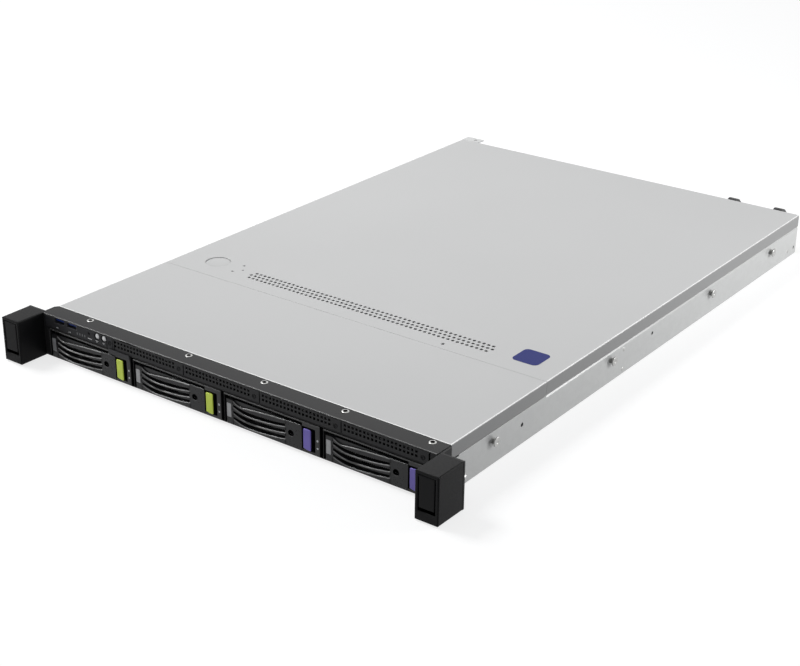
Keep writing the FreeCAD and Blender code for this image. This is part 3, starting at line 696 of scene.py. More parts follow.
def grow(group, start_mesh, inputs):
    """Run a tree on a mesh and return the result as plain mesh."""
    source = bpy.data.objects.new("source", start_mesh)
    modifier = source.modifiers.new("grow", "NODES")
    modifier.node_group = group
    for item in group.interface.items_tree:
        if item.item_type == "SOCKET" and item.in_out == "INPUT" and item.name in inputs:
            modifier[item.identifier] = inputs[item.name]
    return evaluated_copy(source)


def copies_on_points():
    """Tree: a master shape on every point, turned by one tilt."""
    tree = Tree("copies_on_points")
    shape = tree.ask("Shape", "NodeSocketObject")
    tilt = tree.ask("Tilt", "NodeSocketVector")
    master = tree.add("GeometryNodeObjectInfo", {"Object": shape})
    points = tree.add("GeometryNodeMeshToPoints", {"Mesh": tree.given.outputs["Geometry"]})
    turned = tree.add("FunctionNodeEulerToRotation", {"Euler": tilt})
    copies = tree.add("GeometryNodeInstanceOnPoints", {
        "Points": points.outputs[0], "Instance": master.outputs["Geometry"],
        "Rotation": turned.outputs[0]})
    return tree.close(copies.outputs[0])


COPIES = copies_on_points()


def repeat(master_mesh, places, finish, tilt=(0, 0, 0)):
    """Mesh with one copy of a master shape at each place in mm."""
    master = bpy.data.objects.new("master", master_mesh)
    cloud = bpy.data.meshes.new("points")
    cloud.from_pydata([tuple(v * MM for v in place) for place in places], [], [])
    mesh = grow(COPIES, cloud, {"Shape": master, "Tilt": tilt, "Finish": FINISHES[finish]})
    bpy.data.objects.remove(master)
    return mesh


def add_copies(name, master_mesh, places, finish, body):
    """A piece made of copies of one shape, all with one finish."""
    return add_piece(name, repeat(master_mesh, places, finish), finish, body)


def joined(meshes):
    """Several meshes as one."""
    build = bmesh.new()
    for mesh in meshes:
        build.from_mesh(mesh)
    whole = bpy.data.meshes.new("joined")
    build.to_mesh(whole)
    build.free()
    return even_shading(whole, 40)


print("trees ready:", COPIES.name)

# %% [markdown]
# ## Screws, studs and rivets
#
# The band over the drives is held by low button-head screws, and the strip under it by small
# black ones. Flanged studs on the walls hang in the slide rails. Each kind is one profile
# turned round its axis, and the tree puts a copy at each place. The places come from the middle
# of the solids that the screws have in the CAD model, so nothing is listed twice.

# %% Screws, studs and rivets
QUARTER = math.radians(90)


def solids_of(node):
    """Lowest and highest corners in mm of each loose solid of a CAD node."""
    build = merged_copy(node)
    left = set(build.verts)
    boxes = []
    while left:
        queue = [left.pop()]
        found = []
        while queue:
            vert = queue.pop()
            found.append(vert.co / MM)
            for edge in vert.link_edges:
                other = edge.other_vert(vert)
                if other in left:
                    left.remove(other)
                    queue.append(other)
        boxes.append((Vector([min(c[i] for c in found) for i in range(3)]),
                      Vector([max(c[i] for c in found) for i in range(3)])))
    build.free()
    return sorted(boxes, key=lambda box: tuple(box[0]))


def turned_mesh(profile, sides=24, axis="z", centre=(0, 0)):
    """A closed shape turned from (radius, height) pairs."""
    build = bmesh.new()
    turn(build, axis, centre, profile, sides)
    return mesh_from(build)


# profiles as (radius, height above the sheet) pairs
BUTTON_HEAD = [(0, -0.2), (3.2, -0.2), (3.2, 0.12), (3.0, 0.33), (2.65, 0.44), (2.0, 0.44),
               (1.85, 0.3), (0, 0.3)]
SOCKET_SHADE = [(0, 0.0), (1.95, 0.0), (1.95, 0.45), (0, 0.45)]
SMALL_HEAD = [(0, -0.3), (1.7, -0.3), (1.7, 0.0), (1.45, 0.2), (0.85, 0.24), (0.75, 0.1), (0, 0.02)]
STUD = [(0, -0.2), (2.6, -0.2), (2.6, 3.0), (4.1, 3.0), (4.3, 3.15), (4.3, 4.1), (3.95, 4.4), (1.5, 4.4),
        (1.3, 4.1), (0, 4.1)]
RIVET = [(0, -0.2), (2.2, -0.2), (2.2, 0.05), (1.9, 0.24), (1.2, 0.37), (0, 0.4)]

BAND_TOP = box_mm("front_frame")[1].z
TALLEST_STRIP_SCREW = 3.65
band_places = []
strip_places = []
for low, high in solids_of("front_screws"):
    middle = (low + high) / 2
    if high.z - low.z > TALLEST_STRIP_SCREW or high.z > BAND_TOP + 0.3:
        band_places.append((middle.x, middle.y, BAND_TOP))
    else:
        strip_places.append((middle.x, low.y + 0.25, middle.z))
# The dark disc in each band screw's socket is painted shade.
for name, profile, sides, places, finish, tilt, stands_for in (
        ("band_screw_heads", BUTTON_HEAD, 32, band_places, "screw_steel", (0, 0, 0), ("front_screws",)),
        ("band_screw_sockets", SOCKET_SHADE, 24, band_places, "painted_shade_black", (0, 0, 0), ()),
        ("strip_screw_heads", SMALL_HEAD, 16, strip_places, "blackened_steel", (QUARTER, 0, 0), ())):
    mesh = repeat(turned_mesh(profile, sides), places, finish, tilt)
    add_piece(name, even_shading(mesh, 40), finish, "chassis", stands_for)

WALL = box_mm("chassis_base")[1].x
WIDEST_RIVET = 6
stud_parts = []
for side in (-1, 1):
    studs = []
    rivets = []
    for low, high in solids_of("rail_studs"):
        middle = (low + high) / 2
        if middle.x * side > 0:
            place = (side * WALL, middle.y, middle.z)
            (studs if high.z - low.z > WIDEST_RIVET else rivets).append(place)
    tilt = (0, side * QUARTER, 0)
    stud_parts.append(repeat(turned_mesh(STUD, 28), studs, "screw_steel", tilt))
    stud_parts.append(repeat(turned_mesh(RIVET, 20), rivets, "screw_steel", tilt))
add_piece("rail_stud_set", joined(stud_parts), "screw_steel", "chassis", ("rail_studs",))
print("screws:", len(band_places), "in the band,", len(strip_places), "in the strip")
print("stud set:", len(stud_parts), "groups on both walls")

# %% [markdown]
# ## The perforated lid
#
# Three staggered rows of small round holes let warm air out of the lid. Punching them with a
# Boolean is simple once a tree has made all punches: a line of points for each row, a cylinder
# on each point, and one Mesh Boolean for the lot. The lid itself is its folded section pushed
# along its length. The thumb recess is a nearly flat disc inside a narrow pressed groove.

# %% The perforated lid
LID_LOW, LID_HIGH = box_mm("top_cover")
SHEET = 1.0
BEND_RADIUS = 0.8
HOLE_PITCH = 5.05
HOLE_RADIUS = 1.7
# y of a row, x of its first hole, number of holes
HOLE_ROWS = ((174.9, -127.5, 55), (180.7, -130.0, 56), (186.5, -127.5, 55))
RECESS_AT = (-178.4, 186.6)
RECESS_RADIUS = 12.5
RECESS_DEPTH = 0.9
LOCK_HOLE_AT = (107.1, 163.8)
LOCK_HOLE_RADIUS = 1.7


def folded_section(half, top, low):
    """Section of a cover with round bends, as (x, z) corners in mm."""
    points = [(half, low)]
    for k in range(6):
        angle = math.radians(90 * k / 5)
        points.append((half - BEND_RADIUS + BEND_RADIUS * math.cos(angle),
                       top - BEND_RADIUS + BEND_RADIUS * math.sin(angle)))
    inner = [(half - SHEET, low), (half - SHEET, top - SHEET)]
    left = [(-x, z) for x, z in reversed(points)]
    return points + left + [(-x, z) for x, z in inner] + list(reversed(inner))


def punches():
    """Tree: rows of round punches taken out of the incoming sheet."""
    tree = Tree("punched_rows")
    radius = tree.ask("Hole Radius")
    step = tree.ask("Pitch", "NodeSocketVector")
    rows = tree.add("GeometryNodeJoinGeometry")
    for number in range(len(HOLE_ROWS)):
        start = tree.ask("Row Start %d" % (number + 1), "NodeSocketVector")
        count = tree.ask("Row Count %d" % (number + 1), "NodeSocketInt")
        line = tree.add("GeometryNodeMeshLine", {"Count": count, "Start Location": start, "Offset": step})
        tree.group.links.new(line.outputs["Mesh"], rows.inputs[0])
    punch = tree.add("GeometryNodeMeshCylinder", {"Vertices": 14, "Radius": radius, "Depth": 0.004})
    punch_set = tree.add("GeometryNodeInstanceOnPoints", {
        "Points": rows.outputs[0], "Instance": punch.outputs["Mesh"]})
    solid = tree.add("GeometryNodeRealizeInstances", {"Geometry": punch_set.outputs[0]})
    cut = tree.add("GeometryNodeMeshBoolean", operation="DIFFERENCE")
    tree.group.links.new(tree.given.outputs["Geometry"], cut.inputs["Mesh 1"])
    tree.group.links.new(solid.outputs[0], cut.inputs["Mesh 2"])
    return tree.close(cut.outputs["Mesh"])


def cut_round(mesh, axis, places, sides=48):
    """Take round holes out of a mesh; a place is (centre, radius, low end, high end) in mm."""
    cutter = bmesh.new()
    for centre, radius, low, high in places:
        turn(cutter, axis, centre, [(0, low), (radius, low), (radius, high), (0, high)], sides)
    bmesh.ops.remove_doubles(cutter, verts=cutter.verts, dist=0.001 * MM)
    bmesh.ops.recalc_face_normals(cutter, faces=cutter.faces)
    cutter_mesh = bpy.data.meshes.new("cutter")
    cutter.to_mesh(cutter_mesh)
    cutter.free()
    cutter_object = bpy.data.objects.new("cutter", cutter_mesh)
    bpy.context.scene.collection.objects.link(cutter_object)
    source = bpy.data.objects.new("source", mesh)
    boolean = source.modifiers.new("cut", "BOOLEAN")
    boolean.object = cutter_object
    boolean.operation = "DIFFERENCE"
    result = evaluated_copy(source)
    bpy.data.objects.remove(cutter_object)
    return result


def recess_dish():
    """Pressed round recess: a nearly flat middle inside a narrow groove."""
    top = LID_HIGH.z
    profile = [(0, top - RECESS_DEPTH * 0.3), (RECESS_RADIUS - 1.4, top - RECESS_DEPTH * 0.35),
               (RECESS_RADIUS - 0.8, top - RECESS_DEPTH), (RECESS_RADIUS + 0.02, top - RECESS_DEPTH),
               (RECESS_RADIUS + 0.02, top - SHEET - RECESS_DEPTH), (0, top - SHEET - RECESS_DEPTH)]
    build = bmesh.new()
    turn(build, "z", RECESS_AT, profile, 64)
    return mesh_from(build)


lid_build = bmesh.new()
push(lid_build, "y", folded_section(LID_HIGH.x, LID_HIGH.z, LID_LOW.z), LID_LOW.y, LID_HIGH.y)
lid_sheet = mesh_from(lid_build)
lid_inputs = {"Hole Radius": HOLE_RADIUS * MM, "Pitch": (HOLE_PITCH * MM, 0, 0),
              "Finish": FINISHES["lid_paint"]}
for number, (row_y, row_start, row_count) in enumerate(HOLE_ROWS, start=1):
    lid_inputs["Row Start %d" % number] = (row_start * MM, row_y * MM, (LID_HIGH.z - SHEET / 2) * MM)
    lid_inputs["Row Count %d" % number] = row_count
punched = grow(punches(), lid_sheet, lid_inputs)
through = (LID_HIGH.z - 3, LID_HIGH.z + 2)
holes = [(RECESS_AT, RECESS_RADIUS, *through), (LOCK_HOLE_AT, LOCK_HOLE_RADIUS, *through)]
punched = cut_round(punched, "z", holes, 64)
lid = add_piece("perforated_lid", joined([punched, recess_dish()]), "lid_paint", "lid", ("top_cover",))
# The folded sides of both covers take a darker copy of the lid's sheet: painted shade.
COVER_SIDES_IN_PAINTED_SHADE = (("painted_shade_cover_side", lambda c, n: abs(n.x) > 0.9 and abs(c.x) > LID_HIGH.x - 0.1),)
finish_by_place(lid, COVER_SIDES_IN_PAINTED_SHADE)
dressed_by_place("front_cover", COVER_SIDES_IN_PAINTED_SHADE)
print("lid:", sum(row[2] for row in HOLE_ROWS), "holes,", len(lid.data.polygons), "faces")

# %% [markdown]
# ## Marks on the lid
#
# A blue square label with round corners sits at the back right of the perforated strip, and
# three small printed arrows show how the lid slides. All are thin plates laid on the steel.

# %% Marks on the lid
def bar(u, v, width, height, radius=0.3):
    """Outline of a small rounded bar round a middle point."""
    return rounded_outline(u - width / 2, u + width / 2, v - height / 2, v + height / 2, radius, 3)


def plate(axis, outlines, low, high):
    """Thin plates from several outlines."""
    build = bmesh.new()
    for outline in outlines:
        push(build, axis, outline, low, high)
    return mesh_from(build)


label_low, label_high = box_mm("cover_label")
label_outline = rounded_outline(label_low.x, label_high.x, label_low.y, label_high.y, 5.0, 8)
add_piece("blue_label", plate("z", [label_outline], LID_HIGH.z - 0.02, label_high.z), "label_blue", "lid",
          ("cover_label",))
arrows = []
# middle, size and pointing direction of each arrow
for x, y, size, way in ((-150.7, 176.7, 1.7, -1), (-144.4, 184.9, 1.3, 1), (-150.9, 194.3, 1.7, 1)):
    arrows.append([(x - size, y - way * size * 0.6), (x + size, y - way * size * 0.6), (x, y + way * size)])
add_piece("lid_arrows", plate("z", arrows, LID_HIGH.z - 0.02, LID_HIGH.z + 0.03), "plate_grey", "lid")
print("lid marks:", 1 + len(arrows))

# %% [markdown]
# ## The joint between the covers
#
# The fixed cover ends in a narrow lip that the lid rests on, so the joint is a shallow line and
# not an open slit. Where both covers fold down to their sides, a near-white strip along the
# bend is painted highlight and shows as a bright line.

# %% The joint between the covers
LIP_HALF = 216.0
LIP_FRONT = LID_LOW.y - 4.0
LIP_BACK = LID_LOW.y + 3.0
lip = [(-LIP_HALF, LIP_FRONT), (LIP_HALF, LIP_FRONT), (LIP_HALF, LIP_BACK), (-LIP_HALF, LIP_BACK)]
lip_mesh = plate("z", [lip], LID_HIGH.z - SHEET - 0.7, LID_HIGH.z - SHEET - 0.04)
add_piece("cover_lip", lip_mesh, "lid_paint", "chassis")
# Near-white strips along the folds of both covers: painted highlight.
for name, node, body in (("front_cover", "front_cover", "chassis"), ("lid", "top_cover", "lid")):
    low, high = box_mm(node)
    folds = []
    for side in (-1, 1):
        x = side * (high.x - 0.75)
        folds.append(rounded_outline(x - 0.45, x + 0.45, low.y + 0.3, high.y - 0.3, 0.2, 2))
    add_piece(name + "_folds", plate("z", folds, high.z - 0.3, high.z + 0.03), "painted_highlight_hem", body)
print("lip:", round(LIP_BACK - LIP_FRONT, 1), "mm wide")

# %% [markdown]
# ## Bright edges of the front
#
# The folded front edge of the cover carries a near-white strip, painted highlight that shows as a
# white line behind the black band. The band's own front fold and the top bar of every carrier
# are rounder than their neighbours and carry a bead that is lighter and glossier than the black
# around it: a painted highlight that makes a grey line of light. The strip is made of segments
# with a narrow joint beside each of its screws, and black plates in these joints and in the
# band's slot are painted shade.

# %% Bright edges of the front
def long_bead(x0, x1, y, z, radius):
    """A thin round bar along x."""
    build = bmesh.new()
    turn(build, "x", (y, z), [(0, x0), (radius, x0), (radius, x1), (0, x1)], 10)
    return mesh_from(build)


FRAME_LOW, FRAME_HIGH = box_mm("front_frame")
COVER_LOW, COVER_HIGH = box_mm("front_cover")
# The near-white hem strip at the front edge of the cover is painted highlight.
hem = [rounded_outline(COVER_LOW.x + 1.8, COVER_HIGH.x - 1.8, COVER_LOW.y, COVER_LOW.y + 1.1, 0.2, 3)]
add_piece("cover_hem", plate("z", hem, COVER_HIGH.z - 0.3, COVER_HIGH.z + 0.05), "painted_highlight_hem", "chassis")
fold = long_bead(FRAME_LOW.x + 0.6, FRAME_HIGH.x - 0.6, FRAME_LOW.y + 0.47, FRAME_HIGH.z - 0.47, 0.5)
add_piece("band_fold", fold, "painted_highlight_crest", "chassis")
for number in range(1, 5):
    tray_low, tray_high = box_mm("carrier_tray_%d" % number)
    crest = long_bead(tray_low.x + 1.2, tray_high.x - 1.2, tray_low.y + 0.66, tray_high.z - 0.7, 0.68)
    add_piece("tray_crest_%d" % number, crest, "painted_highlight_crest", "carrier_%d" % number)
# Black plates in the band's slot and in the strip's joints are painted shade.
slot = [bar(-110.0, FRAME_HIGH.z - 0.75, 20.5, 0.9, 0.3)]
add_piece("band_slot", plate("y", slot, FRAME_LOW.y - 0.06, FRAME_LOW.y + 0.3), "painted_shade_black", "chassis")
joints = [bar(x + 5.6, 36.4, 0.6, 9.6, 0.1) for x, y, z in strip_places]
strip_face = strip_places[-1][1]
add_piece("strip_joints", plate("y", joints, strip_face - 0.28, strip_face + 0.2), "painted_shade_black", "chassis")
print("bright edges: a hem, a band fold, 4 tray crests and", len(joints), "strip joints")

# %% [markdown]
# ## Control panel
#
# Two USB ports with blue tongues, four small lamps, a pin-hole and two white push buttons sit
# in the panel at the left of the strip. The buttons are low domes turned round their axis. The
# printed signs under them are generic dashes, thin as paint.

# %% Control panel
PANEL_FACE = box_mm("control_panel")[0].y


def domed_button(node, radius):
    """Low dome on a short stem that stands for a CAD button."""
    low, high = box_mm(node)
    centre = ((low.x + high.x) / 2, (low.z + high.z) / 2)
    profile = [(0, low.y - 0.35), (radius * 0.4, low.y - 0.3), (radius * 0.75, low.y - 0.12),
               (radius * 0.93, low.y + 0.1), (radius, low.y + 0.4), (radius, low.y + 2.6),
               (radius * 0.6, low.y + 2.6), (radius * 0.6, high.y), (0, high.y)]
    mesh = turned_mesh(profile, 32, "y", centre)
    add_piece(node + "_dome", mesh, slot_of[node], body_of_node[node], (node,))
    return centre


button_places = [domed_button(name, 2.45) for name in ("power_button", "locate_button")]
tongues = []
port_marks = []
for low, high in solids_of("usb_ports"):
    middle_x = (low.x + high.x) / 2
    tongues.append(rounded_outline(middle_x - 5.45, middle_x + 5.45, low.z + 2.35, low.z + 4.05, 0.2, 2))
    port_marks.append(bar(middle_x - 3.2, 32.9, 3.4, 0.5))
    port_marks.append(bar(middle_x - 2.6, 33.6, 1.8, 0.4))
add_piece("port_tongues", plate("y", tongues, PANEL_FACE + 1.5, PANEL_FACE + 12), "port_blue", "chassis")
signs = port_marks
for centre, width in zip(sorted(button_places), (3.6, 2.8)):
    signs.append(bar(centre[0], 34.2, width, 0.5))
    signs.append(bar(centre[0], 33.2, width * 0.5, 0.5))
pinhole_low, pinhole_high = box_mm("reset_button")
reset_x = (pinhole_low.x + pinhole_high.x) / 2
signs.append(bar(reset_x + 0.6, 33.7, 5.2, 0.6))
add_piece("panel_signs", plate("y", signs, PANEL_FACE - 0.02, PANEL_FACE + 0.1), "printed_mark", "chassis")
WIDEST_LAMP = 3
lenses = []
for low, high in solids_of("control_board"):
    if high.x - low.x < WIDEST_LAMP:
        lenses.append(rounded_outline(low.x - 0.05, high.x + 0.05, low.z - 0.05, high.z + 0.05, 0.3, 3))
add_piece("lamp_lenses", plate("y", lenses, PANEL_FACE + 0.02, PANEL_FACE + 0.4), "lens_grey", "chassis")
print("panel: buttons", len(button_places), "lenses", len(lenses), "signs", len(signs))

# %% [markdown]
# ## The ribbed handle of a drive carrier
#
# The lever over each drive is the finest moulding of the machine. Three wavy vents leave four
# bars that fall quickly from the hinge end, hang lowest at about a third of their length and
# rise slowly to the lock end. Every edge of a vent follows one curve, which only starts lower
# and hangs deeper from bar to bar. So a bar is a row of rounded sections along that curve, and
# the upper front corner of each section is rounder than the lower one. A thin shell over that
# corner, lighter and glossier than the lever, paints the bright line along each bar as a
# painted highlight. Hinge block and lock block are plain outlines with round edges. A screen of
# upright wires in front of the drive, black as painted shade, fills the vents.

# %% The ribbed handle
handle_low, handle_high = box_mm("carrier_handle_1")
HANDLE_FACE = handle_low.y
HANDLE_LOW = handle_low.z
HANDLE_TOP = handle_high.z
HANDLE_DEPTH = 4.4
HINGE_FROM_CENTRE = -46.5
HINGE_RADIUS = -HANDLE_FACE
VENT_LEFT = -41.3
VENT_RIGHT = 15.3
HANDLE_END = 32.8
BAR_END = VENT_RIGHT + 0.8
LOCK_AT = (21.4, 14.9)
LOCK_RADIUS = 3.0
CREST_LOWEST = 21.3
CREST_LOWEST_AFTER = 9.0
SAG_AT = 0.3
CREST_RADIUS = 0.9
# (height and sag of a vent's upper edge, height and sag of its lower edge) from top to bottom
VENTS = (((21.5, 2.7), (19.2, 3.9)), ((15.9, 2.3), (13.5, 3.9)), ((10.3, 2.3), (8.0, 3.7)))


def hang(x):
    """How far the wave hangs at x, from 0 at both ends to 1 at its lowest point."""
    along = (x - VENT_LEFT) / (VENT_RIGHT - VENT_LEFT)
    if along < SAG_AT:
        return max(0.0, 1 - (1 - along / SAG_AT) ** 2)
    return max(0.0, 1 - ((along - SAG_AT) / (1 - SAG_AT)) ** 2)


def handle_crest(x):
    """Height of the handle's uppermost edge: a short fall, then a long rise to the lock end."""
    lowest_at = VENT_LEFT + CREST_LOWEST_AFTER
    if x < lowest_at:
        return CREST_LOWEST + 3.3 * ((lowest_at - x) / CREST_LOWEST_AFTER) ** 2
    return CREST_LOWEST + 4.1 * (1 - (1 - (x - lowest_at) / (HANDLE_END - lowest_at)) ** 2)


def vent_edge(numbers):
    """Height of a vent's edge as a function of x."""
    return lambda x: numbers[0] - numbers[1] * hang(x)


def bar_section(low, high):
    """Rounded section of a bar as (y, z) points, starting at its lower back corner."""
    back = HANDLE_FACE + HANDLE_DEPTH
    under = min(0.35, (high - low) / 4)
    upper = min(CREST_RADIUS, (high - low) / 2)
    points = [(back, low)]
    for radius, cz, start in ((under, low + under, 270), (upper, high - upper, 180)):
        for k in range(6):
            angle = math.radians(start - 90 * k / 5)
            points.append((HANDLE_FACE + radius + radius * math.cos(angle),
                           cz + radius * math.sin(angle)))
    points.append((back, high))
    return points


def crest_section(high):
    """Thin shell over the upper front corner of a bar, which carries the painted highlight."""
    points = []
    for radius, order in ((CREST_RADIUS + 0.02, range(6)), (CREST_RADIUS - 0.25, range(5, -1, -1))):
        for k in order:
            angle = math.radians(172 - 74 * k / 5)
            points.append((HANDLE_FACE + CREST_RADIUS + radius * math.cos(angle),
                           high - CREST_RADIUS + radius * math.sin(angle)))
    return points


def sweep(build, centre, start, end, section, stations=44):
    """Carry a section along x; the section is a function of x."""
    rings = []
    for i in range(stations + 1):
        x = start + (end - start) * i / stations
        rings.append([build.verts.new(((centre + x) * MM, y * MM, z * MM)) for y, z in section(x)])
    for near, far in zip(rings, rings[1:]):
        for k in range(len(near)):
            j = (k + 1) % len(near)
            build.faces.new((near[k], near[j], far[j], far[k]))
    build.faces.new(rings[0])
    build.faces.new(rings[-1])


def bar_edges():
    """Upper and lower edge of every bar, from the top one down."""
    bars = [(handle_crest, vent_edge(VENTS[0][0]))]
    for (upper, lower), (next_upper, next_lower) in zip(VENTS, VENTS[1:]):
        bars.append((vent_edge(lower), vent_edge(next_upper)))
    return bars + [(vent_edge(VENTS[-1][1]), lambda x: HANDLE_LOW)]


def hinge_plan(centre):
    """Plan of the hinge block: its round end swings clear of the bezel's pocket."""
    points = []
    for k in range(9):
        angle = math.radians(90 + 15 * k)
        points.append((centre + HINGE_FROM_CENTRE + HINGE_RADIUS * math.cos(angle),
                       HINGE_RADIUS * math.sin(angle)))
    points += [(centre - 49.6, HANDLE_FACE + 0.9), (centre - 49.0, HANDLE_FACE + 0.4),
               (centre - 48.3, HANDLE_FACE), (centre + VENT_LEFT, HANDLE_FACE)]
    return points + [(centre + VENT_LEFT, HANDLE_FACE + HANDLE_DEPTH)]


def bevel_three(build, edges, width_mm):
    """Round some edges in three steps."""
    bmesh.ops.bevel(build, geom=edges, offset=width_mm * MM, offset_type="OFFSET", segments=3,
                    profile=0.5, affect="EDGES", clamp_overlap=True)


def rounded_block(axis, outline, low, high, width_mm):
    """An outline pushed along an axis, with all its corners rounded."""
    build = bmesh.new()
    push(build, axis, outline, low, high)
    bevel_three(build, [edge for edge in build.edges if edge.calc_face_angle(0) > CORNER], width_mm)
    return mesh_from(build)


def set_back_shelf(centre):
    """Plate behind the uppermost bar that closes the space up to the handle's top."""
    build = bmesh.new()
    points = [(VENT_LEFT - 0.5 + k * (HANDLE_END - VENT_LEFT) / 24) for k in range(25)]
    outline = [(centre + x, handle_crest(x) - 1.6) for x in points]
    outline += [(centre + x, HANDLE_TOP) for x in reversed(points)]
    push(build, "y", outline, HANDLE_FACE + 1.6, HANDLE_FACE + 2.8)
    return mesh_from(build)


def ribbed_handle(centre):
    """The whole lever as one mesh."""
    bars = bmesh.new()
    for upper, lower in bar_edges():
        sweep(bars, centre, VENT_LEFT - 0.8, BAR_END, lambda x: bar_section(lower(x), upper(x)))
    rising = [VENT_RIGHT + (HANDLE_END - VENT_RIGHT) * k / 8 for k in range(9)]
    lock_front = [(centre + x, handle_crest(x)) for x in rising]
    lock_front += [(centre + HANDLE_END, HANDLE_LOW), (centre + VENT_RIGHT, HANDLE_LOW)]
    lock_block = rounded_block("y", lock_front, HANDLE_FACE, 3.0, CREST_RADIUS - 0.02)
    lock_at = (centre + LOCK_AT[0], LOCK_AT[1])
    lock_block = cut_round(lock_block, "y", [(lock_at, LOCK_RADIUS, HANDLE_FACE - 1, HANDLE_FACE + 2.2)])
    hinge_block = rounded_block("z", hinge_plan(centre), HANDLE_LOW, HANDLE_TOP, 0.3)
    return joined([mesh_from(bars), lock_block, hinge_block, set_back_shelf(centre)])


def painted_highlight_crests(centre):
    """Shells over the upper front corners of all bars, lighter and glossier as painted highlight."""
    build = bmesh.new()
    for upper, lower in bar_edges():
        sweep(build, centre, VENT_LEFT - 0.2, BAR_END, lambda x: crest_section(upper(x)))
    sweep(build, centre, VENT_RIGHT + 0.7, HANDLE_END - 0.8,
          lambda x: crest_section(handle_crest(x) + 0.2), 8)
    return mesh_from(build, 60)


bay_centres = {}
SCREEN_WIRES = 45
SCREEN_PITCH = 2
SCREEN_DEPTH = 6.9
for number in range(1, 5):
    tray_low, tray_high = box_mm("carrier_tray_%d" % number)
    centre = (tray_low.x + tray_high.x) / 2
    bay_centres[number] = centre
    node = "carrier_handle_%d" % number
    body = body_of_node[node]
    lever = add_piece(node + "_ribbed", ribbed_handle(centre), "handle_plastic", body, (node,))
    add_piece(node + "_crests", painted_highlight_crests(centre), "painted_highlight_crest", body)
    # A black screen of wires behind the vents is painted shade, so that the vents read dark.
    wires = [(centre - 40 + SCREEN_PITCH * k, SCREEN_DEPTH, 0) for k in range(SCREEN_WIRES)]
    wire = plate("z", [bar(0, 0, 1.25, 0.6, 0.1)], 3.4, 28.2)
    add_copies("drive_screen_%d" % number, wire, wires, "painted_shade_black", "carrier_%d" % number)
print("handles: 4 with", len(lever.data.polygons), "faces each")

# %% [markdown]
# ## Fittings of a drive carrier
#
# Each carrier has a smoky label window on the hinge block of its handle, a small key lock, a
# coloured latch and two white lamps in its right column. The lock is black as painted shade in
# its recess, with a painted highlight on the lower half of its rim and two grey pins that are
# partly keyway and partly painted reflection. The four carriers are alike, so one loop builds a
# set at the middle of each bay; only the first has a blank tag above its latch.

# %% Fittings of a drive carrier
def key_lock(centre):
    """Round lock: a plug in a recessed ring, black as painted shade."""
    face = HANDLE_FACE
    profile = [(0, face + 2.2), (LOCK_RADIUS - 0.02, face + 2.2), (LOCK_RADIUS - 0.02, face - 0.02),
               (2.7, face - 0.02), (2.6, face + 1.5), (1.9, face + 1.5), (1.75, face + 0.9),
               (0, face + 0.9)]
    return turned_mesh(profile, 32, "y", (centre + LOCK_AT[0], LOCK_AT[1]))


def rim_highlight_section(x):
    """Section of the lower half of the lock's rim, lighter as painted highlight."""
    low = LOCK_AT[1] - math.sqrt(LOCK_RADIUS ** 2 - (x - LOCK_AT[0]) ** 2)
    face = HANDLE_FACE - 0.04
    return [(face, low), (face + 0.5, low), (face + 0.5, low + 0.4), (face, low + 0.4)]


LATCH_PAD = [(35.7, 6.1), (39.9, 6.1), (40.5, 5.3), (42.2, 5.3), (42.9, 6.0), (42.9, 23.5),
             (42.1, 24.3), (35.9, 24.3), (35.1, 23.5), (35.1, 6.8)]
LATCH_FOOT = [(35.8, 7.0), (42.0, 7.0), (42.0, 23.4), (35.8, 23.4)]
LAMP_FROM_CENTRE = 49.4
LAMP_HEIGHTS = (9.7, 16.5)
LAMP_DOME = [(0, HANDLE_FACE - 0.22), (0.6, HANDLE_FACE - 0.18), (0.95, HANDLE_FACE - 0.02),
             (1.0, HANDLE_FACE + 0.2), (0, HANDLE_FACE + 0.2)]


def push_latch(centre, outline, near, far):
    """One layer of a latch, with its front edges rounded."""
    build = bmesh.new()
    push(build, "y", [(centre + x, z) for x, z in outline], near, far)
    front = [edge for edge in build.edges if all(abs(v.co.y - near * MM) < 1e-6 for v in edge.verts)]
    bevel_three(build, front, 0.5)
    return mesh_from(build)


for number, centre in bay_centres.items():
    handle = "handle_%d" % number
    carrier = "carrier_%d" % number
    window = [rounded_outline(centre - 48.2, centre - 43.6, 8.8, 21.6, 0.5, 3)]
    pane = plate("y", window, HANDLE_FACE - 0.02, HANDLE_FACE + 0.25)
    add_piece("label_window_%d" % number, pane, "smoky_window", handle)
    add_piece("key_lock_%d" % number, key_lock(centre), "painted_shade_black", handle)
    # Two grey pins in the lock: keyway detail and painted reflection.
    pins = [bar(centre + 20.6, 14.3, 0.45, 0.6, 0.1), bar(centre + 22.2, 14.0, 0.5, 0.5, 0.1)]
    rim = bmesh.new()
    sweep(rim, centre, LOCK_AT[0] - 2.0, LOCK_AT[0] + 2.2, rim_highlight_section, 16)
    add_piece("lock_rim_%d" % number, mesh_from(rim), "painted_highlight_crest", handle)
    add_piece("lock_pins_%d" % number, plate("y", pins, HANDLE_FACE + 0.6, HANDLE_FACE + 0.9),
              "plate_grey", handle)
    lamps = bmesh.new()
    for z in LAMP_HEIGHTS:
        turn(lamps, "y", (centre + LAMP_FROM_CENTRE, z), LAMP_DOME, 20)
    add_piece("carrier_lamps_%d" % number, mesh_from(lamps), "lamp_white", carrier)
    latch = "carrier_latch_%d" % number
    pad = push_latch(centre, LATCH_PAD, HANDLE_FACE - 1.0, HANDLE_FACE - 0.1)
    add_piece(latch + "_pad", pad, slot_of[latch], "latch_%d" % number, (latch,))
    foot = push_latch(centre, LATCH_FOOT, HANDLE_FACE - 0.1, 3.2)
    add_piece(latch + "_foot", foot, "bezel_plastic", "latch_%d" % number)
    if number == 1:
        tag = rounded_outline(centre + 25.3, centre + 50.9, 27.0, 31.4, 0.5)
        add_piece("blank_tag", plate("y", [tag], HANDLE_FACE - 0.45, HANDLE_FACE), "plate_grey", carrier)
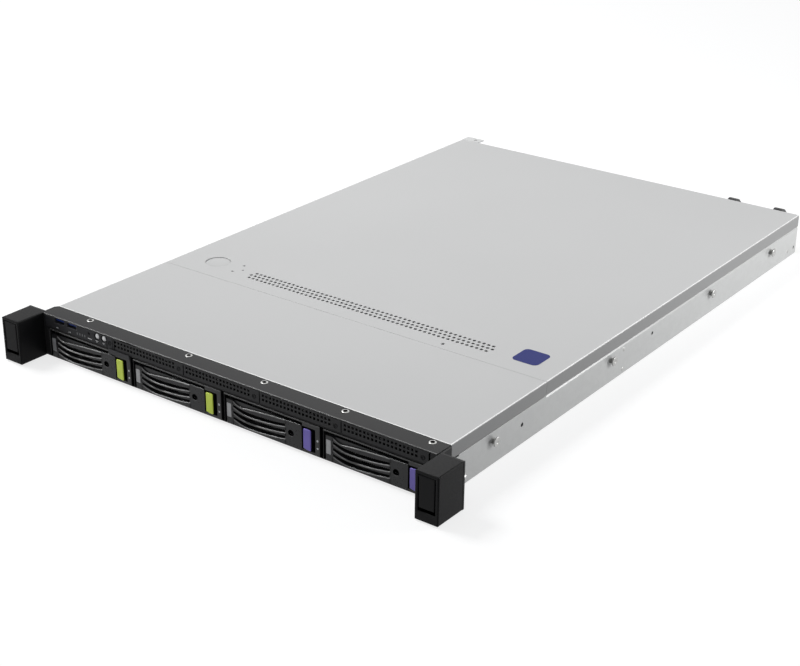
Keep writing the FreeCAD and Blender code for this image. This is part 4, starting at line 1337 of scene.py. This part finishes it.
print("carrier fittings: 4 windows, 4 locks, 8 lamps and a blank tag")

# %% [markdown]
# ## Power supplies
#
# A supply is a plated can with a black pull loop, a dark mains inlet with three steel pins, and
# vents. The inlet is dark plastic with painted shade in its recess, and the vents are painted
# black as shade. The shape is right in the CAD model, so a copy of it gets several finishes, and
# a face takes one by where it lies. A narrow black bezel goes round each inlet, and an arched
# grip on each loop shows over the rear edge.

# %% Power supplies
def ring_plate(outer, inner, low, high):
    """A flat ring pushed along y; both outlines have the same number of corners."""
    build = bmesh.new()
    rings = []
    for y in (low, high):
        rings.append([[build.verts.new((u * MM, y * MM, v * MM)) for u, v in outline]
                      for outline in (outer, inner)])
    count = len(outer)
    for k in range(count):
        j = (k + 1) % count
        for a, b in ((rings[0][0], rings[1][0]), (rings[1][0], rings[1][1]), (rings[1][1], rings[0][1]),
                     (rings[0][1], rings[0][0])):
            build.faces.new((a[k], a[j], b[j], b[k]))
    return mesh_from(build)


REAR = box_mm("rear_ports")[1].y
# boxes as depth behind the rear face, x from the middle of the supply, and height
INLET_BOX = ((0.3, 18.1), (-24.6, -6.4), (7.4, 34.6))
VENTS_BOX = ((0.3, 4.1), (6.9, 18.1), (6.9, 35.3))
PINS_BOX = ((2.9, 17.9), (-16.5, -14.5), (8, 34))
GRIP_HALF = 4.8


def inside(place, middle, box):
    """Whether a place lies in a box of a power supply."""
    values = (REAR - place.y, place.x - middle, place.z)
    return all(low < value < high for value, (low, high) in zip(values, box))


for number in (1, 2):
    supply = "power_supply_%d" % number
    body = body_of_node[supply]
    supply_low, supply_high = box_mm(supply)
    middle = (supply_low.x + supply_high.x) / 2
    # The inlet and vent faces take black: the inlet's own dark plastic, and painted shade in its recess and
    # behind the vents.
    dressed = dressed_by_place(supply, (("handle_plastic", lambda c, n: c.y > REAR - 0.1),
                                        ("painted_shade_black", lambda c, n: inside(c, middle, INLET_BOX)),
                                        ("painted_shade_black", lambda c, n: inside(c, middle, VENTS_BOX)),
                                        ("screw_steel", lambda c, n: inside(c, middle, PINS_BOX))))
    bezel = ring_plate(rounded_outline(middle - 26.0, middle - 5.0, 6.0, 36.0, 2.0),
                       rounded_outline(middle - 24.5, middle - 6.5, 7.5, 34.5, 0.8),
                       REAR - 0.4, REAR + 0.7)
    add_piece("inlet_bezel_%d" % number, bezel, "chip_black", body)
    back = supply_high.y
    arch = [(back - 21, 34.2), (back - 19.5, 37.6), (back - 16.5, 39.8), (back - 13.5, 40.4),
            (back - 10.5, 39.8), (back - 6, 37.6), (back - 3.6, 34.2)]
    grip = rounded_block("x", arch, middle - GRIP_HALF, middle + GRIP_HALF, 2.0)
    add_piece("loop_grip_%d" % number, grip, "handle_plastic", body)
print("power supplies dressed with", len(dressed.data.materials), "finishes")

# %% [markdown]
# ## Inside the machine
#
# With the lid off, the cooling and the memory show. A heat sink is a thick base with many thin
# fins, and a memory module is a board with chips on both sides and gold contacts. Each kind is
# one master shape that the tree repeats. Places follow the solids of the CAD model.

# %% Inside the machine
def box_mesh(x, y, z, width, depth, height):
    """A block standing on z, round a middle in x and y, all in mm."""
    build = bmesh.new()
    outline = [(x - width / 2, y - depth / 2), (x + width / 2, y - depth / 2),
               (x + width / 2, y + depth / 2), (x - width / 2, y + depth / 2)]
    push(build, "z", outline, z, z + height)
    return mesh_from(build)


FINS = 30
BASE_HEIGHT = 4.0
FIN_THICKNESS = 0.5
sinks = [(low, high, (low + high) / 2) for low, high in solids_of("cpu_heatsinks")]
fin_places = []
for low, high, middle in sinks:
    for k in range(FINS):
        fin_places.append((low.x + 0.3 + k * (high.x - low.x - 0.6) / (FINS - 1), middle.y, 0))
low, high, middle = sinks[0]
fin_height = high.z - low.z - BASE_HEIGHT + 0.1
fin = box_mesh(0, 0, high.z - fin_height, FIN_THICKNESS, high.y - low.y, fin_height)
fin_set = repeat(fin, fin_places, "heatsink")
bases = [box_mesh(m.x, m.y, low.z, high.x - low.x, high.y - low.y, BASE_HEIGHT) for low, high, m in sinks]
add_piece("heatsink_fins", joined([fin_set] + bases), "heatsink", "chassis", ("cpu_heatsinks",))

CHIPS_PER_SIDE = 9
CHIP_PITCH = 13.8
sticks = [(low, high, (low + high) / 2) for low, high in solids_of("memory_modules")]
chip_places = []
for low, high, middle in sticks:
    for side in (-1, 1):
        for k in range(CHIPS_PER_SIDE):
            chip_places.append((middle.x + side * 1.1, low.y + 11 + k * CHIP_PITCH, low.z + 9.5))
boards = [box_mesh(m.x, m.y, low.z, 1.3, high.y - low.y, high.z - low.z) for low, high, m in sticks]
add_piece("memory_boards", joined(boards), "memory", "chassis", ("memory_modules",))
add_copies("memory_chips", box_mesh(0, 0, 0, 1.0, 9.5, 11.5), chip_places, "chip_black", "chassis")
contacts = [box_mesh(m.x, m.y, low.z + 0.1, 1.4, high.y - low.y - 6, 2.2) for low, high, m in sticks]
add_piece("memory_contacts", joined(contacts), "contact_gold", "chassis")
print("inside:", len(sinks), "heat sinks,", len(sticks), "modules,", len(chip_places), "memory chips")

# %% [markdown]
# ## Parts on the main board
#
# Chokes and capacitors stand in rows before and behind each processor, where its supply is.
# Chips, plugs and rows of tiny parts fill the rest of the board, clear of the processors' own
# places and the plugs.

# %% Parts on the main board
BOARD_LOW = box_mm("motherboard")[0]
BOARD_FACE = BOARD_LOW.z + 1.6
PER_ROW = 6
coil_places = []
can_places = []
for low, high, middle in sinks:
    for k in range(PER_ROW):
        x = middle.x - 30 + 12 * k
        coil_places.append((x, high.y + 26, BOARD_FACE))
        can_places += [(x, high.y + 40, BOARD_FACE), (x, low.y - 44, BOARD_FACE)]
coil = rounded_block("z", rounded_outline(-4, 4, -4, 4, 0.6, 2), 0, 6.0, 0.4)
add_copies("board_coils", coil, coil_places, "chip_black", "chassis")
can = turned_mesh([(0, 0), (3.1, 0), (3.1, 7.4), (2.8, 7.8), (0, 7.8)], 14)
add_copies("board_capacitors", can, can_places, "drive_alloy", "chassis")
chip_spots = [(-170, 290), (-150, 560), (-175, 600), (-60, 590), (30, 520), (60, 575), (20, 610), (80, 300)]
chips = [box_mesh(x, y, BOARD_FACE, 14 - k % 3 * 3, 14 - k % 2 * 4, 1.4)
         for k, (x, y) in enumerate(chip_spots)]
add_piece("board_chips", joined(chips), "chip_black", "chassis")
plugs = [box_mesh(88, 480, BOARD_FACE, 9, 50, 11), box_mesh(88, 560, BOARD_FACE, 9, 24, 11),
         box_mesh(-30, 640, BOARD_FACE, 40, 6, 8), box_mesh(-190, 480, BOARD_FACE, 7, 40, 9)]
add_piece("board_plugs", joined(plugs), "button_white", "chassis")
DOT_ROWS, DOTS_PER_ROW = 14, 22
dots = []
for row in range(DOT_ROWS):
    for k in range(DOTS_PER_ROW):
        x = BOARD_LOW.x + 12 + k * 13.7 + (row * 5) % 7
        y = 474 + row * 13.5 + (k * 7) % 5
        under_sink = abs(x + 25) < 22 and abs(y - 535) < 22
        under_card = abs(x + 107) < 8 and y > 495
        if not (under_sink or under_card):
            dots.append((x, y, BOARD_FACE))
add_copies("board_tiny_parts", box_mesh(0, 0, 0, 1.0, 2.0, 0.7), dots, "lens_grey", "chassis")
print("main board:", len(coil_places), "coils,", len(can_places), "capacitors,", len(dots), "tiny parts")

# %% [markdown]
# ## Drives and rear sockets
#
# Each drive has a pressed lid with six screws and a blank paper label. The sockets at the rear
# get a dark tongue each.

# %% Drives and rear sockets
drive_screw = [(0, 0), (1.9, 0), (1.8, 0.3), (0.9, 0.34), (0.8, 0.15), (0, 0.15)]
for number, centre in bay_centres.items():
    carrier = "carrier_%d" % number
    low, high = box_mm("hard_drive_%d" % number)
    pressed = rounded_outline(centre - 47, centre + 47, low.y + 6, high.y - 8, 4, 5)
    add_piece("drive_lid_%d" % number, rounded_block("z", pressed, high.z - 0.1, high.z + 0.3, 0.15),
              "psu_can", carrier)
    paper = rounded_outline(centre - 34, centre + 34, low.y + 40, high.y - 50, 1.0)
    add_piece("drive_label_%d" % number, plate("z", [paper], high.z + 0.25, high.z + 0.38),
              "button_white", carrier)
    places = [(centre + x, low.y + y, high.z + 0.28) for x in (-42, 42) for y in (12, 72, 130)]
    add_copies("drive_screws_%d" % number, turned_mesh(drive_screw, 14), places, "screw_steel", carrier)
socket_tongues = []
for low, high in solids_of("rear_ports"):
    height = min(1.8, (high.z - low.z) / 4)
    middle = (low + high) / 2
    socket_tongues.append(bar(middle.x, middle.z, (high.x - low.x) * 0.62, height, 0.2))
add_piece("socket_tongues", plate("y", socket_tongues, REAR - 12.2, REAR - 3.0), "chip_black", "chassis")
print("drives: 4 lids, 4 labels, 24 screws; rear sockets:", len(socket_tongues))
